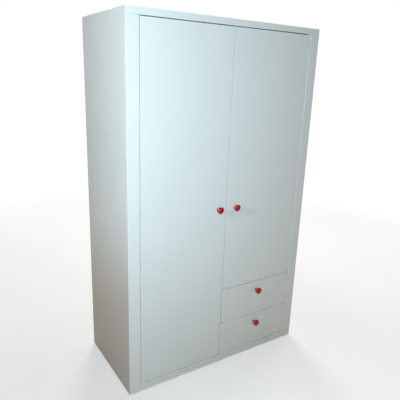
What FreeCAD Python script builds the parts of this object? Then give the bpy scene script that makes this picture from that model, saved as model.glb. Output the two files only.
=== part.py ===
"""Wardrobe with two inset doors and two inset drawers, as a parametric FreeCAD document.

Places are written as x from the left side, y from the front plane of the frame towards the
back, and z up from the floor. The function place() moves them into the object's own frame,
whose origin is the middle of the footprint, knobs included, on the floor.
"""
import FreeCAD, Part
import Sketcher
import os
import re

Vector = FreeCAD.Vector

SIZES = {
    # Overall sizes
    "overall_width": 1200.0,
    "overall_height": 2000.0,
    "overall_depth": 575.0,
    # Boards
    "stile_width": 66.0,
    "stile_depth": 22.0,
    "side_thickness": 22.0,
    "top_thickness": 33.0,
    "rail_height": 47.0,
    "board_thickness": 19.0,
    "front_thickness": 19.0,
    "back_thickness": 3.0,
    "back_inset": 8.0,
    "rebate_width": 10.0,
    "edge_radius": 2.0,
    "glide_height": 5.0,
    "glide_radius": 10.0,
    # Gaps around the doors and the drawer fronts
    "recess": 2.0,
    "side_gap": 2.0,
    "top_gap": 3.5,
    "bottom_gap": 2.5,
    "meeting_gap": 2.5,
    "drawer_gap": 2.5,
    "front_to_inside": 2.0,
    # Heights of what stands inside
    "right_door_bottom": 495.5,
    "drawer_split": 267.0,
    "hat_shelf_height": 1650.0,
    "lower_shelf_height": 860.0,
    "upper_shelf_height": 1300.0,
    "shelf_play": 1.0,
    "shelf_setback": 30.0,
    # Clothes rail and its sockets
    "clothes_rail_drop": 75.0,
    "clothes_rail_radius": 12.5,
    "clothes_rail_wall": 1.5,
    "socket_flange_radius": 26.0,
    "socket_flange": 3.0,
    "socket_cup_length": 14.0,
    "socket_cup_wall": 2.5,
    "socket_play": 0.3,
    "socket_screw_offset": 20.0,
    # Shelf pins
    "shelf_pin_radius": 2.5,
    "shelf_pin_bite": 9.0,
    "shelf_pin_reach": 10.0,
    "shelf_pin_setback": 60.0,
    # Door pivots
    "pivot_inset": 6.0,
    "pivot_depth": 5.5,
    "pivot_radius": 2.5,
    "pivot_fit": 0.05,
    "pivot_play": 0.5,
    "pivot_collar_radius": 4.5,
    "pivot_bite": 10.0,
    "plate_thickness": 2.0,
    "plate_length": 60.0,
    "plate_width": 15.0,
    "plate_end": 5.0,
    "plate_front": 4.0,
    "shelf_plate_length": 66.0,
    # Knobs
    "door_knob_offset": 58.0,
    "door_knob_height": 1005.0,
    "drawer_knob_drop": 60.0,
    "knob_heart_side": 26.0,
    "knob_thickness": 22.0,
    "knob_stem": 16.0,
    "knob_foot_radius": 9.0,
    "knob_neck_radius": 6.0,
    "knob_edge_radius": 5.0,
    # Drawers
    "box_thickness": 12.0,
    "box_rise": 18.0,
    "lower_box_headroom": 48.25,
    "upper_box_headroom": 56.25,
    "bottom_thickness": 4.0,
    "bottom_rise": 10.0,
    "groove_depth": 5.0,
    "groove_play": 0.2,
    # Roller runners
    "runner_length": 500.0,
    "runner_space": 12.5,
    "runner_metal": 1.2,
    "runner_foot": 10.0,
    "roller_radius": 10.0,
    "roller_width": 7.0,
    "roller_play": 0.3,
    "roller_rise": 12.0,
    "roller_end": 14.0,
    "axle_radius": 2.0,
    "axle_fit": 0.1,
    "side_play": 0.5,
    "packer_height": 60.0,
    # Catches and bumpers
    "catch_width": 14.0,
    "catch_depth": 14.0,
    "catch_height": 46.0,
    "strike_thickness": 1.5,
    "strike_width": 12.0,
    "strike_height": 40.0,
    "bumper_radius": 3.0,
    "bumper_from_end": 75.0,
    "catch_from_end": 120.0,
    # Cam fittings
    "cam_radius": 7.5,
    "cam_depth": 12.5,
    "cam_distance": 34.0,
    "cam_bolt_radius": 3.5,
    "cam_bite": 9.0,
    "cam_setback": 70.0,
    # Screws
    "small_screw_radius": 1.75,
    "small_screw_length": 14.0,
    "small_screw_head": 1.6,
    "small_screw_head_radius": 3.5,
    "box_screw_radius": 2.0,
    "box_screw_length": 30.0,
    "box_screw_head": 2.0,
    "box_screw_head_radius": 4.0,
    "low_screw_share": 0.1728,
    "knob_screw_radius": 2.0,
    "knob_screw_bite": 12.0,
    "knob_screw_head": 2.4,
    "knob_screw_head_radius": 4.0,
}

# Planes and lines that several pieces share, as expressions on the sheet
FRONT_PLANE = "((knob_stem + knob_thickness - recess - overall_depth) / 2)"
TOP_UNDERSIDE = "(overall_height - top_thickness)"
FRONT_BACK = "(recess + front_thickness)"
INSIDE_FRONT = "(recess + front_thickness + front_to_inside)"
BACK_PANEL = "(overall_depth - back_inset - back_thickness)"
MIDDLE = "(overall_width / 2)"
PARTITION_LEFT = "(overall_width / 2 - board_thickness / 2)"
PARTITION_RIGHT = "(overall_width / 2 + board_thickness / 2)"
RIGHT_SIDE_INSIDE = "(overall_width - side_thickness)"
RIGHT_STILE_INSIDE = "(overall_width - stile_width)"
FRONT_WIDTH = "(overall_width / 2 - meeting_gap / 2 - stile_width - side_gap)"
LEFT_DOOR_LEFT = "(stile_width + side_gap)"
RIGHT_DOOR_LEFT = "(overall_width / 2 + meeting_gap / 2)"
DOOR_TOP = "(overall_height - top_thickness - top_gap)"
LOW_FRONT_BOTTOM = "(rail_height + bottom_gap)"
SHELF_TOP = "(right_door_bottom - pivot_play - plate_thickness)"
UPPER_FRONT_TOP = "(right_door_bottom - 2 * pivot_play - plate_thickness)"
LEFT_PIVOT_X = "(stile_width + side_gap + pivot_inset)"
RIGHT_PIVOT_X = "(overall_width - stile_width - side_gap - pivot_inset)"
PIVOT_Y = "(recess + pivot_depth)"
BOX_LEFT = "(overall_width / 2 + board_thickness / 2 + runner_space)"
BOX_RIGHT = "(overall_width - stile_width - runner_space)"
BOX_BACK = "(recess + front_thickness + runner_length)"
CAM_ROWS = (f"({INSIDE_FRONT} + cam_setback)", f"({BACK_PANEL} - cam_setback)")

DRAWERS = {
    "lower": {
        "bottom": LOW_FRONT_BOTTOM,
        "top": "(drawer_split - drawer_gap / 2)",
    },
    "upper": {
        "bottom": "(drawer_split + drawer_gap / 2)",
        "top": UPPER_FRONT_TOP,
    },
}

doc = FreeCAD.newDocument("Wardrobe")
sub_parts = []


# ---------------------------------------------------------------- sheet and bindings

def make_sheet():
    """Write every driving size into the spreadsheet under its own name."""
    sheet = doc.addObject("Spreadsheet::Sheet", "Sizes")
    for row, (name, size) in enumerate(SIZES.items(), start=1):
        sheet.set(f"A{row}", name)
        sheet.set(f"B{row}", str(size))
        sheet.setAlias(f"B{row}", name)
    doc.recompute()
    return sheet


def expression(text):
    """Return the text with each size name pointing at the sheet."""
    def point_at_sheet(word):
        name = word.group(0)
        return "Sizes." + name if name in SIZES else name
    return re.sub(r"[a-z][a-z_]*", point_at_sheet, text)


def bind(feature, prop, text):
    """Tie one property of a feature to an expression on the sheet."""
    feature.setExpression(prop, expression(text))


def place(feature, x, y, z):
    """Put a feature at x from the left side, y from the front plane and z from the floor."""
    bind(feature, "Placement.Base.x", f"{x} - overall_width / 2")
    bind(feature, "Placement.Base.y", f"{y} + {FRONT_PLANE}")
    bind(feature, "Placement.Base.z", z)


def sub_part(feature, label):
    """Give a finished piece its own name and keep it for the export."""
    feature.Label = label
    sub_parts.append(feature)
    return feature


# ---------------------------------------------------------------- building blocks

AXIS_TURNS = {
    "x": FreeCAD.Rotation(Vector(0, 1, 0), 90),
    "y": FreeCAD.Rotation(Vector(1, 0, 0), -90),
    "z": FreeCAD.Rotation(),
}


def block(name, x, y, z, across, deep, up):
    """Make a box from its lowest corner and its three extents."""
    box = doc.addObject("Part::Box", name)
    bind(box, "Length", across)
    bind(box, "Width", deep)
    bind(box, "Height", up)
    place(box, x, y, z)
    return box


def rod(name, axis, x, y, z, radius, length):
    """Make a cylinder that starts at a point and runs up along one axis."""
    cylinder = doc.addObject("Part::Cylinder", name)
    cylinder.Placement = FreeCAD.Placement(Vector(), AXIS_TURNS[axis])
    bind(cylinder, "Radius", radius)
    bind(cylinder, "Height", length)
    place(cylinder, x, y, z)
    return cylinder


def fused(name, pieces):
    """Join touching or overlapping pieces into one solid."""
    union = doc.addObject("Part::MultiFuse", name)
    union.Shapes = pieces
    union.Refine = True
    return union


def grouped(name, pieces):
    """Keep separate solids together in one feature."""
    compound = doc.addObject("Part::Compound", name)
    compound.Links = pieces
    return compound


def carved(name, base, tools):
    """Cut the tools out of a piece, one after another."""
    piece = base
    for number, tool in enumerate(tools, start=1):
        cut = doc.addObject("Part::Cut", f"{name}_cut_{number}")
        cut.Base = piece
        cut.Tool = tool
        piece = cut
    return piece


def origin_plane(body, role):
    """Find one of the body's own origin planes."""
    return next(plane for plane in body.Origin.OriginFeatures if plane.Role == role)


def new_sketch(body, role, name):
    """Attach a new sketch to one of the body's origin planes."""
    sketch = body.newObject("Sketcher::SketchObject", name)
    sketch.AttachmentSupport = [(origin_plane(body, role), "")]
    sketch.MapMode = "FlatFace"
    return sketch


def add_rectangle(sketch, across, up):
    """Draw a rectangle with its lower left corner on the sketch's origin."""
    corners = [Vector(0, 0), Vector(10, 0), Vector(10, 10), Vector(0, 10)]
    for number in range(4):
        sketch.addGeometry(Part.LineSegment(corners[number], corners[(number + 1) % 4]))
    for number in range(4):
        sketch.addConstraint(Sketcher.Constraint("Coincident", number, 2, (number + 1) % 4, 1))
    for number in (0, 2):
        sketch.addConstraint(Sketcher.Constraint("Horizontal", number))
    for number in (1, 3):
        sketch.addConstraint(Sketcher.Constraint("Vertical", number))
    sketch.addConstraint(Sketcher.Constraint("Coincident", 0, 1, -1, 1))
    width = sketch.addConstraint(Sketcher.Constraint("DistanceX", 0, 1, 0, 2, 10.0))
    height = sketch.addConstraint(Sketcher.Constraint("DistanceY", 1, 1, 1, 2, 10.0))
    bind(sketch, f"Constraints[{width}]", across)
    bind(sketch, f"Constraints[{height}]", up)


def face_towards(shape, direction):
    """Name the flat face that lies furthest in a direction."""
    reach = [face.CenterOfMass.dot(direction) for face in shape.Faces]
    return f"Face{reach.index(max(reach)) + 1}"


def board(name, x, y, z, across, deep, up, eased):
    """Make a board as a body: a rectangle padded backwards, with eased edges on some faces."""
    body = doc.addObject("PartDesign::Body", name)
    sketch = new_sketch(body, "XZ_Plane", f"{name}_outline")
    add_rectangle(sketch, across, up)
    pad = body.newObject("PartDesign::Pad", f"{name}_pad")
    pad.Profile = sketch
    pad.Reversed = True
    bind(pad, "Length", deep)
    doc.recompute()
    if eased:
        fillet = body.newObject("PartDesign::Fillet", f"{name}_eased")
        fillet.Base = (pad, [face_towards(pad.Shape, direction) for direction in eased])
        bind(fillet, "Radius", "edge_radius")
        body.Tip = fillet
    place(body, x, y, z)
    return body


FRONT = Vector(0, -1, 0)
TOP = Vector(0, 0, 1)


def screw(name, direction, x, y, z, kind, length=None):
    """Make a pan-head screw from the point under its head and the way its shank goes."""
    sign, axis = direction
    shank_length = length or f"{kind}_length"
    shank = {"x": x, "y": y, "z": z}
    head = dict(shank)
    if sign == "+":
        head[axis] = f"({head[axis]} - {kind}_head)"
    else:
        shank[axis] = f"({shank[axis]} - {shank_length})"
    return fused(name, [
        rod(f"{name}_shank", axis, shank["x"], shank["y"], shank["z"], f"{kind}_radius", shank_length),
        rod(f"{name}_head", axis, head["x"], head["y"], head["z"], f"{kind}_head_radius", f"{kind}_head"),
    ])


# ---------------------------------------------------------------- fasteners of the carcass

def horizontal_cam_fittings(name, left_end, right_end, underside):
    """Cams let into a board's underside, with a bolt into the upright at each of its ends."""
    discs = []
    bolts = []
    middle = f"({underside} + board_thickness / 2)"
    bolt_length = "(cam_bite + cam_distance - cam_radius)"
    for row, y in enumerate(CAM_ROWS):
        discs.append(rod(f"{name}_left_cam_{row}", "z", f"({left_end} + cam_distance)", y, underside,
                         "cam_radius", "cam_depth"))
        discs.append(rod(f"{name}_right_cam_{row}", "z", f"({right_end} - cam_distance)", y, underside,
                         "cam_radius", "cam_depth"))
        bolts.append(rod(f"{name}_left_bolt_{row}", "x", f"({left_end} - cam_bite)", y, middle,
                         "cam_bolt_radius", bolt_length))
        bolts.append(rod(f"{name}_right_bolt_{row}", "x", f"({right_end} - cam_distance + cam_radius)", y,
                         middle, "cam_bolt_radius", bolt_length))
    return discs, bolts


def upright_cam_fittings(name, face, middle, end, upwards):
    """Cams let into an upright's face, with a bolt into the board above or below it."""
    discs = []
    bolts = []
    bolt_length = "(cam_bite + cam_distance - cam_radius)"
    centre = f"({end} - cam_distance)" if upwards else f"({end} + cam_distance)"
    bolt_start = f"({end} - cam_distance + cam_radius)" if upwards else f"({end} - cam_bite)"
    for row, y in enumerate(CAM_ROWS):
        discs.append(rod(f"{name}_cam_{row}", "x", face, y, centre, "cam_radius", "cam_depth"))
        bolts.append(rod(f"{name}_bolt_{row}", "z", middle, y, bolt_start, "cam_bolt_radius", bolt_length))
    return discs, bolts


def make_cam_fittings():
    """Make all the cam fittings that hold the carcass boards together."""
    hat_underside = "(hat_shelf_height - board_thickness)"
    shelf_underside = f"({SHELF_TOP} - board_thickness)"
    bottom_underside = "(rail_height - board_thickness)"
    sets = [
        horizontal_cam_fittings("bottom_board", "side_thickness", RIGHT_SIDE_INSIDE, bottom_underside),
        horizontal_cam_fittings("hat_shelf", "side_thickness", PARTITION_LEFT, hat_underside),
        horizontal_cam_fittings("fixed_shelf", PARTITION_RIGHT, RIGHT_SIDE_INSIDE, shelf_underside),
        upright_cam_fittings("left_side", "(side_thickness - cam_depth)", "(side_thickness / 2)",
                             TOP_UNDERSIDE, True),
        upright_cam_fittings("right_side", RIGHT_SIDE_INSIDE, "(overall_width - side_thickness / 2)",
                             TOP_UNDERSIDE, True),
        upright_cam_fittings("partition_top", PARTITION_LEFT, MIDDLE, TOP_UNDERSIDE, True),
        upright_cam_fittings("partition_foot", PARTITION_LEFT, MIDDLE, "rail_height", False),
    ]
    discs = grouped("cam_discs", [disc for discs, bolts in sets for disc in discs])
    bolts = grouped("cam_bolts", [bolt for discs, bolts in sets for bolt in bolts])
    return discs, bolts


def make_small_screws():
    """Make the small pan-head screws that hold the fittings to the carcass."""
    screws = []
    for name, drawer in DRAWERS.items():
        height = f"({drawer['bottom']} + box_rise + roller_rise)"
        for place_name, share in (("front", "runner_length / 5"), ("back", "runner_length * 4 / 5")):
            y = f"({INSIDE_FRONT} + {share})"
            screws.append(screw(f"{name}_{place_name}_left_runner_screw", "-x",
                                f"({PARTITION_RIGHT} + runner_metal - small_screw_head)", y, height,
                                "small_screw"))
            screws.append(screw(f"{name}_{place_name}_right_runner_screw", "+x",
                                f"({RIGHT_STILE_INSIDE} - runner_metal + small_screw_head)", y, height,
                                "small_screw"))
    back = "(overall_depth - back_inset)"
    for level in ("1 / 8", "3 / 8", "5 / 8", "7 / 8"):
        z = f"(overall_height * {level})"
        for column, x in (("left", "(overall_width / 2 - board_thickness / 4)"),
                          ("right", "(overall_width / 2 + board_thickness / 4)")):
            screws.append(screw(f"{column}_back_screw_{level[0]}", "-y", x, back, z, "small_screw"))
    rail_z = "(hat_shelf_height - board_thickness - clothes_rail_drop)"
    rail_y = f"(({INSIDE_FRONT} + {BACK_PANEL}) / 2)"
    for offset_name, offset in (("upper", "+ socket_screw_offset"), ("lower", "- socket_screw_offset")):
        z = f"({rail_z} {offset})"
        screws.append(screw(f"left_socket_{offset_name}_screw", "-x", "(side_thickness + socket_flange)",
                            rail_y, z, "small_screw"))
        screws.append(screw(f"right_socket_{offset_name}_screw", "+x",
                            f"({PARTITION_LEFT} - socket_flange)", rail_y, z, "small_screw"))
    for number, along in enumerate(("plate_length / 3", "plate_length * 4 / 5")):
        y = "(recess + plate_front + plate_width / 2)"
        left_x = f"({LEFT_PIVOT_X} - plate_end + {along})"
        right_x = f"({RIGHT_PIVOT_X} + plate_end - {along})"
        for name, x in (("left", left_x), ("right", right_x)):
            screws.append(screw(f"{name}_top_pivot_screw_{number}", "+z", x, y,
                                f"({TOP_UNDERSIDE} + small_screw_head)", "small_screw"))
        screws.append(screw(f"left_foot_pivot_screw_{number}", "-z", left_x, y,
                            "(rail_height - small_screw_head)", "small_screw"))
    for number, along in enumerate(("shelf_plate_length / 2", "shelf_plate_length * 4 / 5")):
        screws.append(screw(f"right_foot_pivot_screw_{number}", "-z", RIGHT_PIVOT_X, f"({PIVOT_Y} + {along})",
                            f"({SHELF_TOP} + plate_thickness)", "small_screw"))
    return grouped("small_screws", screws)


# ---------------------------------------------------------------- door pivots

def mortised_plate(name, left_end, surface, into):
    """Make a pivot plate let into a surface; into is 1 above the surface and 0 below it."""
    z = surface if into else f"({surface} - plate_thickness)"
    return block(name, left_end, "(recess + plate_front)", z, "plate_length", "plate_width",
                 "plate_thickness")


def plate_left_end(side):
    """Give the left end of a pivot plate on the left or the right door."""
    if side == "left":
        return f"({LEFT_PIVOT_X} - plate_end)"
    return f"({RIGHT_PIVOT_X} + plate_end - plate_length)"


def make_frame_pivots(side, pivot_x):
    """Make the plates with pins that a door turns on, at its head and its foot."""
    left_end = plate_left_end(side)
    top_plate = mortised_plate(f"{side}_top_frame_plate", left_end, TOP_UNDERSIDE, 1)
    pin_length = "(top_gap + plate_thickness + pivot_bite)"
    top_pin = rod(f"{side}_top_pin", "z", pivot_x, PIVOT_Y, f"({TOP_UNDERSIDE} - {pin_length})",
                  "pivot_radius", pin_length)
    if side == "left":
        surface = "rail_height"
        gap = "bottom_gap"
        foot_plate = mortised_plate("left_foot_frame_plate", left_end, surface, 0)
        collar = [rod("left_collar", "z", pivot_x, PIVOT_Y, surface, "pivot_collar_radius",
                      "(bottom_gap - pivot_play)")]
    else:
        surface = f"({SHELF_TOP} + plate_thickness)"
        gap = "pivot_play"
        foot_plate = block("right_foot_frame_plate", f"({pivot_x} - plate_width / 2)",
                           "(recess + plate_front / 4)", SHELF_TOP, "plate_width",
                           "shelf_plate_length", "plate_thickness")
        collar = []
    foot_pin = rod(f"{side}_foot_pin", "z", pivot_x, PIVOT_Y, surface, "pivot_radius",
                   f"({gap} + plate_thickness + pivot_bite)")
    head = fused(f"{side}_head_pivot", [top_plate, top_pin])
    foot = fused(f"{side}_foot_pivot", [foot_plate, foot_pin] + collar)
    return grouped(f"{side}_pivot_pair", [head, foot])


# ---------------------------------------------------------------- carcass

def make_carcass(cam_discs, cam_bolts, small_screws, frame_pivots, sockets_and_pins):
    """Make the boards of the carcass and cut them for everything that is let into them."""
    upright_height = f"({TOP_UNDERSIDE} - glide_height)"
    cams = [cam_discs, cam_bolts]
    pin_holes = [sockets_and_pins]

    rebate_deep = "(back_inset + back_thickness)"
    top_rebate = block("top_rebate", "(side_thickness - rebate_width)", BACK_PANEL, TOP_UNDERSIDE,
                       "(overall_width - 2 * side_thickness + 2 * rebate_width)", rebate_deep,
                       "rebate_width")
    top = board("top_slab", "0", "0", TOP_UNDERSIDE, "overall_width", "overall_depth", "top_thickness",
                (FRONT, TOP))
    sub_part(carved("top_board", top, [top_rebate, *frame_pivots, cam_bolts, small_screws]), "top_board")

    for side, panel_x, rebate_x, stile_x in (
            ("left", "0", "(side_thickness - rebate_width)", "0"),
            ("right", RIGHT_SIDE_INSIDE, RIGHT_SIDE_INSIDE, RIGHT_STILE_INSIDE)):
        panel = board(f"{side}_side_slab", panel_x, "stile_depth", "glide_height", "side_thickness",
                      "(overall_depth - stile_depth)", upright_height, ())
        rebate = block(f"{side}_side_rebate", rebate_x, BACK_PANEL, "glide_height", "rebate_width",
                       rebate_deep, upright_height)
        sub_part(carved(f"{side}_side_panel", panel, [rebate, *cams, *pin_holes, small_screws]),
                 f"{side}_side_panel")
        sub_part(board(f"{side}_front_stile", stile_x, "0", "glide_height", "stile_width", "stile_depth",
                       upright_height, (FRONT,)), f"{side}_front_stile")

    rail = board("bottom_rail_slab", "stile_width", "0", "glide_height",
                 "(overall_width - 2 * stile_width)", "stile_depth", "(rail_height - glide_height)",
                 (FRONT,))
    sub_part(carved("bottom_rail", rail, [*frame_pivots, small_screws]), "bottom_rail")

    bottom = board("bottom_slab", "side_thickness", "stile_depth", "(rail_height - board_thickness)",
                   "(overall_width - 2 * side_thickness)", f"({BACK_PANEL} - stile_depth)",
                   "board_thickness", ())
    sub_part(carved("bottom_board", bottom, cams), "bottom_board")

    partition = board("partition_slab", PARTITION_LEFT, INSIDE_FRONT, "rail_height", "board_thickness",
                      f"({BACK_PANEL} - {INSIDE_FRONT})", f"({TOP_UNDERSIDE} - rail_height)", ())
    sub_part(carved("centre_partition", partition, [*cams, *pin_holes, small_screws]),
             "centre_partition")

    back_height = f"({TOP_UNDERSIDE} + rebate_width - rail_height + board_thickness)"
    for side, x in (("left", "(side_thickness - rebate_width)"), ("right", MIDDLE)):
        panel = block(f"{side}_back_sheet", x, BACK_PANEL, "(rail_height - board_thickness)",
                      "(overall_width / 2 - side_thickness + rebate_width)", "back_thickness", back_height)
        sub_part(carved(f"{side}_back_panel", panel, [small_screws]), f"{side}_back_panel")


def make_shelves(cam_discs, cam_bolts, small_screws):
    """Make the fixed hat shelf, the fixed shelf over the drawers and two loose shelves."""
    inside_depth = f"({BACK_PANEL} - {INSIDE_FRONT})"
    hat = board("hat_shelf_slab", "side_thickness", INSIDE_FRONT, "(hat_shelf_height - board_thickness)",
                f"({PARTITION_LEFT} - side_thickness)", inside_depth, "board_thickness", ())
    sub_part(carved("hat_shelf", hat, [cam_discs, cam_bolts]), "hat_shelf")
    right_width = f"({RIGHT_SIDE_INSIDE} - {PARTITION_RIGHT})"
    fixed = board("fixed_shelf_slab", PARTITION_RIGHT, INSIDE_FRONT, f"({SHELF_TOP} - board_thickness)",
                  right_width, inside_depth, "board_thickness", ())
    sub_part(carved("fixed_shelf", fixed, [cam_discs, cam_bolts, small_screws]), "fixed_shelf")
    for level in ("lower", "upper"):
        sub_part(board(f"{level}_adjustable_shelf", f"({PARTITION_RIGHT} + shelf_play)",
                       f"({INSIDE_FRONT} + shelf_setback)", f"({level}_shelf_height - board_thickness)",
                       f"({right_width} - 2 * shelf_play)", f"({inside_depth} - shelf_setback - shelf_play)",
                       "board_thickness", (FRONT,)), f"{level}_adjustable_shelf")


def make_shelf_pins():
    """Make the pins under the loose shelves, four to a shelf."""
    pins = []
    rows = (f"({INSIDE_FRONT} + shelf_pin_setback)", f"({BACK_PANEL} - shelf_pin_setback)")
    length = "(shelf_pin_bite + shelf_pin_reach)"
    for level in ("lower", "upper"):
        z = f"({level}_shelf_height - board_thickness - shelf_pin_radius)"
        for row, y in enumerate(rows):
            pins.append(rod(f"{level}_left_shelf_pin_{row}", "x", f"({PARTITION_RIGHT} - shelf_pin_bite)",
                            y, z, "shelf_pin_radius", length))
            pins.append(rod(f"{level}_right_shelf_pin_{row}", "x",
                            f"({RIGHT_SIDE_INSIDE} - shelf_pin_reach)", y, z, "shelf_pin_radius", length))
    return grouped("shelf_pins", pins)


def make_clothes_rail(small_screws):
    """Make the tube that clothes hang on and the socket at each of its ends."""
    rail_z = "(hat_shelf_height - board_thickness - clothes_rail_drop)"
    rail_y = f"(({INSIDE_FRONT} + {BACK_PANEL}) / 2)"
    start = "(side_thickness + socket_flange)"
    length = f"({PARTITION_LEFT} - side_thickness - 2 * socket_flange)"
    outside = rod("clothes_rail_outside", "x", start, rail_y, rail_z, "clothes_rail_radius", length)
    inside = rod("clothes_rail_inside", "x", start, rail_y, rail_z,
                 "(clothes_rail_radius - clothes_rail_wall)", length)
    sub_part(carved("clothes_rail", outside, [inside]), "clothes_rail")

    sockets = []
    cup_radius = "(clothes_rail_radius + socket_play + socket_cup_wall)"
    for side, flange_x, cup_x in (
            ("left", "side_thickness", start),
            ("right", f"({PARTITION_LEFT} - socket_flange)",
             f"({PARTITION_LEFT} - socket_flange - socket_cup_length)")):
        flange = rod(f"{side}_socket_flange", "x", flange_x, rail_y, rail_z, "socket_flange_radius",
                     "socket_flange")
        cup = rod(f"{side}_socket_cup", "x", cup_x, rail_y, rail_z, cup_radius, "socket_cup_length")
        bore = rod(f"{side}_socket_bore", "x", cup_x, rail_y, rail_z,
                   "(clothes_rail_radius + socket_play)", "socket_cup_length")
        body = fused(f"{side}_socket_body", [flange, cup])
        sockets.append(carved(f"{side}_rail_socket", body, [bore, small_screws]))
    sub_part(grouped("rail_sockets", sockets), "rail_sockets")


def make_floor_glides():
    """Make the glides that the carcass stands on."""
    front = "(stile_depth / 2)"
    back = "(overall_depth - stile_width)"
    spots = (
        ("left_front", "(stile_width / 2)", front),
        ("right_front", "(overall_width - stile_width / 2)", front),
        ("middle_front", MIDDLE, front),
        ("left_back", "(side_thickness / 2)", back),
        ("right_back", "(overall_width - side_thickness / 2)", back),
    )
    glides = [rod(f"{name}_glide", "z", x, y, "0", "glide_radius", "glide_height")
              for name, x, y in spots]
    sub_part(grouped("floor_glides", glides), "floor_glides")


# ---------------------------------------------------------------- catches and bumpers

def catch_levels(side):
    """Give the middle heights of the two catches of a door."""
    bottom = LOW_FRONT_BOTTOM if side == "left" else "right_door_bottom"
    return (f"({bottom} + catch_from_end)", f"({DOOR_TOP} - catch_from_end)")


def make_catches():
    """Make the magnetic catches, on both faces of the partition just behind the doors."""
    catches = []
    for side, x in (("left", f"({PARTITION_LEFT} - catch_width)"), ("right", PARTITION_RIGHT)):
        for number, z in enumerate(catch_levels(side)):
            catches.append(block(f"{side}_catch_{number}", x, INSIDE_FRONT, f"({z} - catch_height / 2)",
                                 "catch_width", "catch_depth", "catch_height"))
    sub_part(grouped("magnetic_catches", catches), "magnetic_catches")


def make_strikes(side):
    """Make the steel plates on a door's back that its catches hold."""
    x = (f"({PARTITION_LEFT} - catch_width / 2 - strike_width / 2)" if side == "left"
         else f"({PARTITION_RIGHT} + catch_width / 2 - strike_width / 2)")
    strikes = [block(f"{side}_strike_{number}", x, FRONT_BACK, f"({z} - strike_height / 2)",
                     "strike_width", "strike_thickness", "strike_height")
               for number, z in enumerate(catch_levels(side))]
    sub_part(grouped(f"{side}_door_strikes", strikes), f"{side}_door_strikes")


def make_bumpers():
    """Make the soft bumpers on the partition's front edge that the doors and drawers close on."""
    offset = "(meeting_gap / 2 + bumper_radius + side_play)"
    left_x = f"({MIDDLE} - {offset})"
    right_x = f"({MIDDLE} + {offset})"
    spots = [
        (left_x, f"({LOW_FRONT_BOTTOM} + bumper_from_end)"),
        (left_x, f"({DOOR_TOP} - bumper_from_end)"),
        (right_x, f"({DOOR_TOP} - bumper_from_end)"),
        (right_x, "(right_door_bottom + bumper_from_end)"),
        (right_x, f"({DRAWERS['lower']['bottom']} + bumper_from_end)"),
        (right_x, f"({DRAWERS['upper']['bottom']} + bumper_from_end)"),
    ]
    bumpers = [rod(f"bumper_{number}", "y", x, FRONT_BACK, z, "bumper_radius", "front_to_inside")
               for number, (x, z) in enumerate(spots)]
    sub_part(grouped("stop_bumpers", bumpers), "stop_bumpers")


# ---------------------------------------------------------------- knobs

def make_knob(name, x, z, surface):
    """Make a heart-shaped knob: a turned square with a disc on each upper side, on a stem."""
    half_diagonal = "(knob_heart_side / sqrt(2))"
    lobe_across = "(knob_heart_side / sqrt(8))"
    heart_height = "(knob_heart_side * (1.5 / sqrt(2) + 0.5))"
    tip = f"({z} - {heart_height} / 2)"
    back = f"({surface} - knob_stem)"
    front = f"({back} - knob_thickness)"
    square = doc.addObject("Part::Box", f"{name}_square")
    square.Placement = FreeCAD.Placement(Vector(), FreeCAD.Rotation(Vector(0, 1, 0), -45))
    bind(square, "Length", "knob_heart_side")
    bind(square, "Width", "knob_thickness")
    bind(square, "Height", "knob_heart_side")
    place(square, x, front, tip)
    lobe_z = f"({tip} + {half_diagonal} + {lobe_across})"
    lobes = [rod(f"{name}_{side}_lobe", "y", f"({x} {sign} {lobe_across})", front, lobe_z,
                 "(knob_heart_side / 2)", "knob_thickness")
             for side, sign in (("left", "-"), ("right", "+"))]
    heart = fused(f"{name}_heart", [square] + lobes)
    doc.recompute()
    front_face = heart.Shape.Faces[int(face_towards(heart.Shape, FRONT)[4:]) - 1]
    rim = [number for number, edge in enumerate(heart.Shape.Edges, start=1)
           if any(edge.isSame(other) for other in front_face.Edges)]
    rounded = doc.addObject("Part::Fillet", f"{name}_rounded")
    rounded.Base = heart
    radius = float(doc.Sizes.get("knob_edge_radius"))
    rounded.Edges = [(number, radius, radius) for number in rim]
    stem = doc.addObject("Part::Cone", f"{name}_stem")
    stem.Placement = FreeCAD.Placement(Vector(), AXIS_TURNS["y"])
    bind(stem, "Radius1", "knob_neck_radius")
    bind(stem, "Radius2", "knob_foot_radius")
    bind(stem, "Height", "knob_stem")
    place(stem, x, back, z)
    return fused(f"{name}_whole", [rounded, stem])


def knob_screw(name, x, z, back_face, through):
    """Make the machine screw that holds a knob from behind."""
    return screw(name, "-y", x, back_face, z, "knob_screw", f"({through} + knob_screw_bite)")


# ---------------------------------------------------------------- doors

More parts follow.
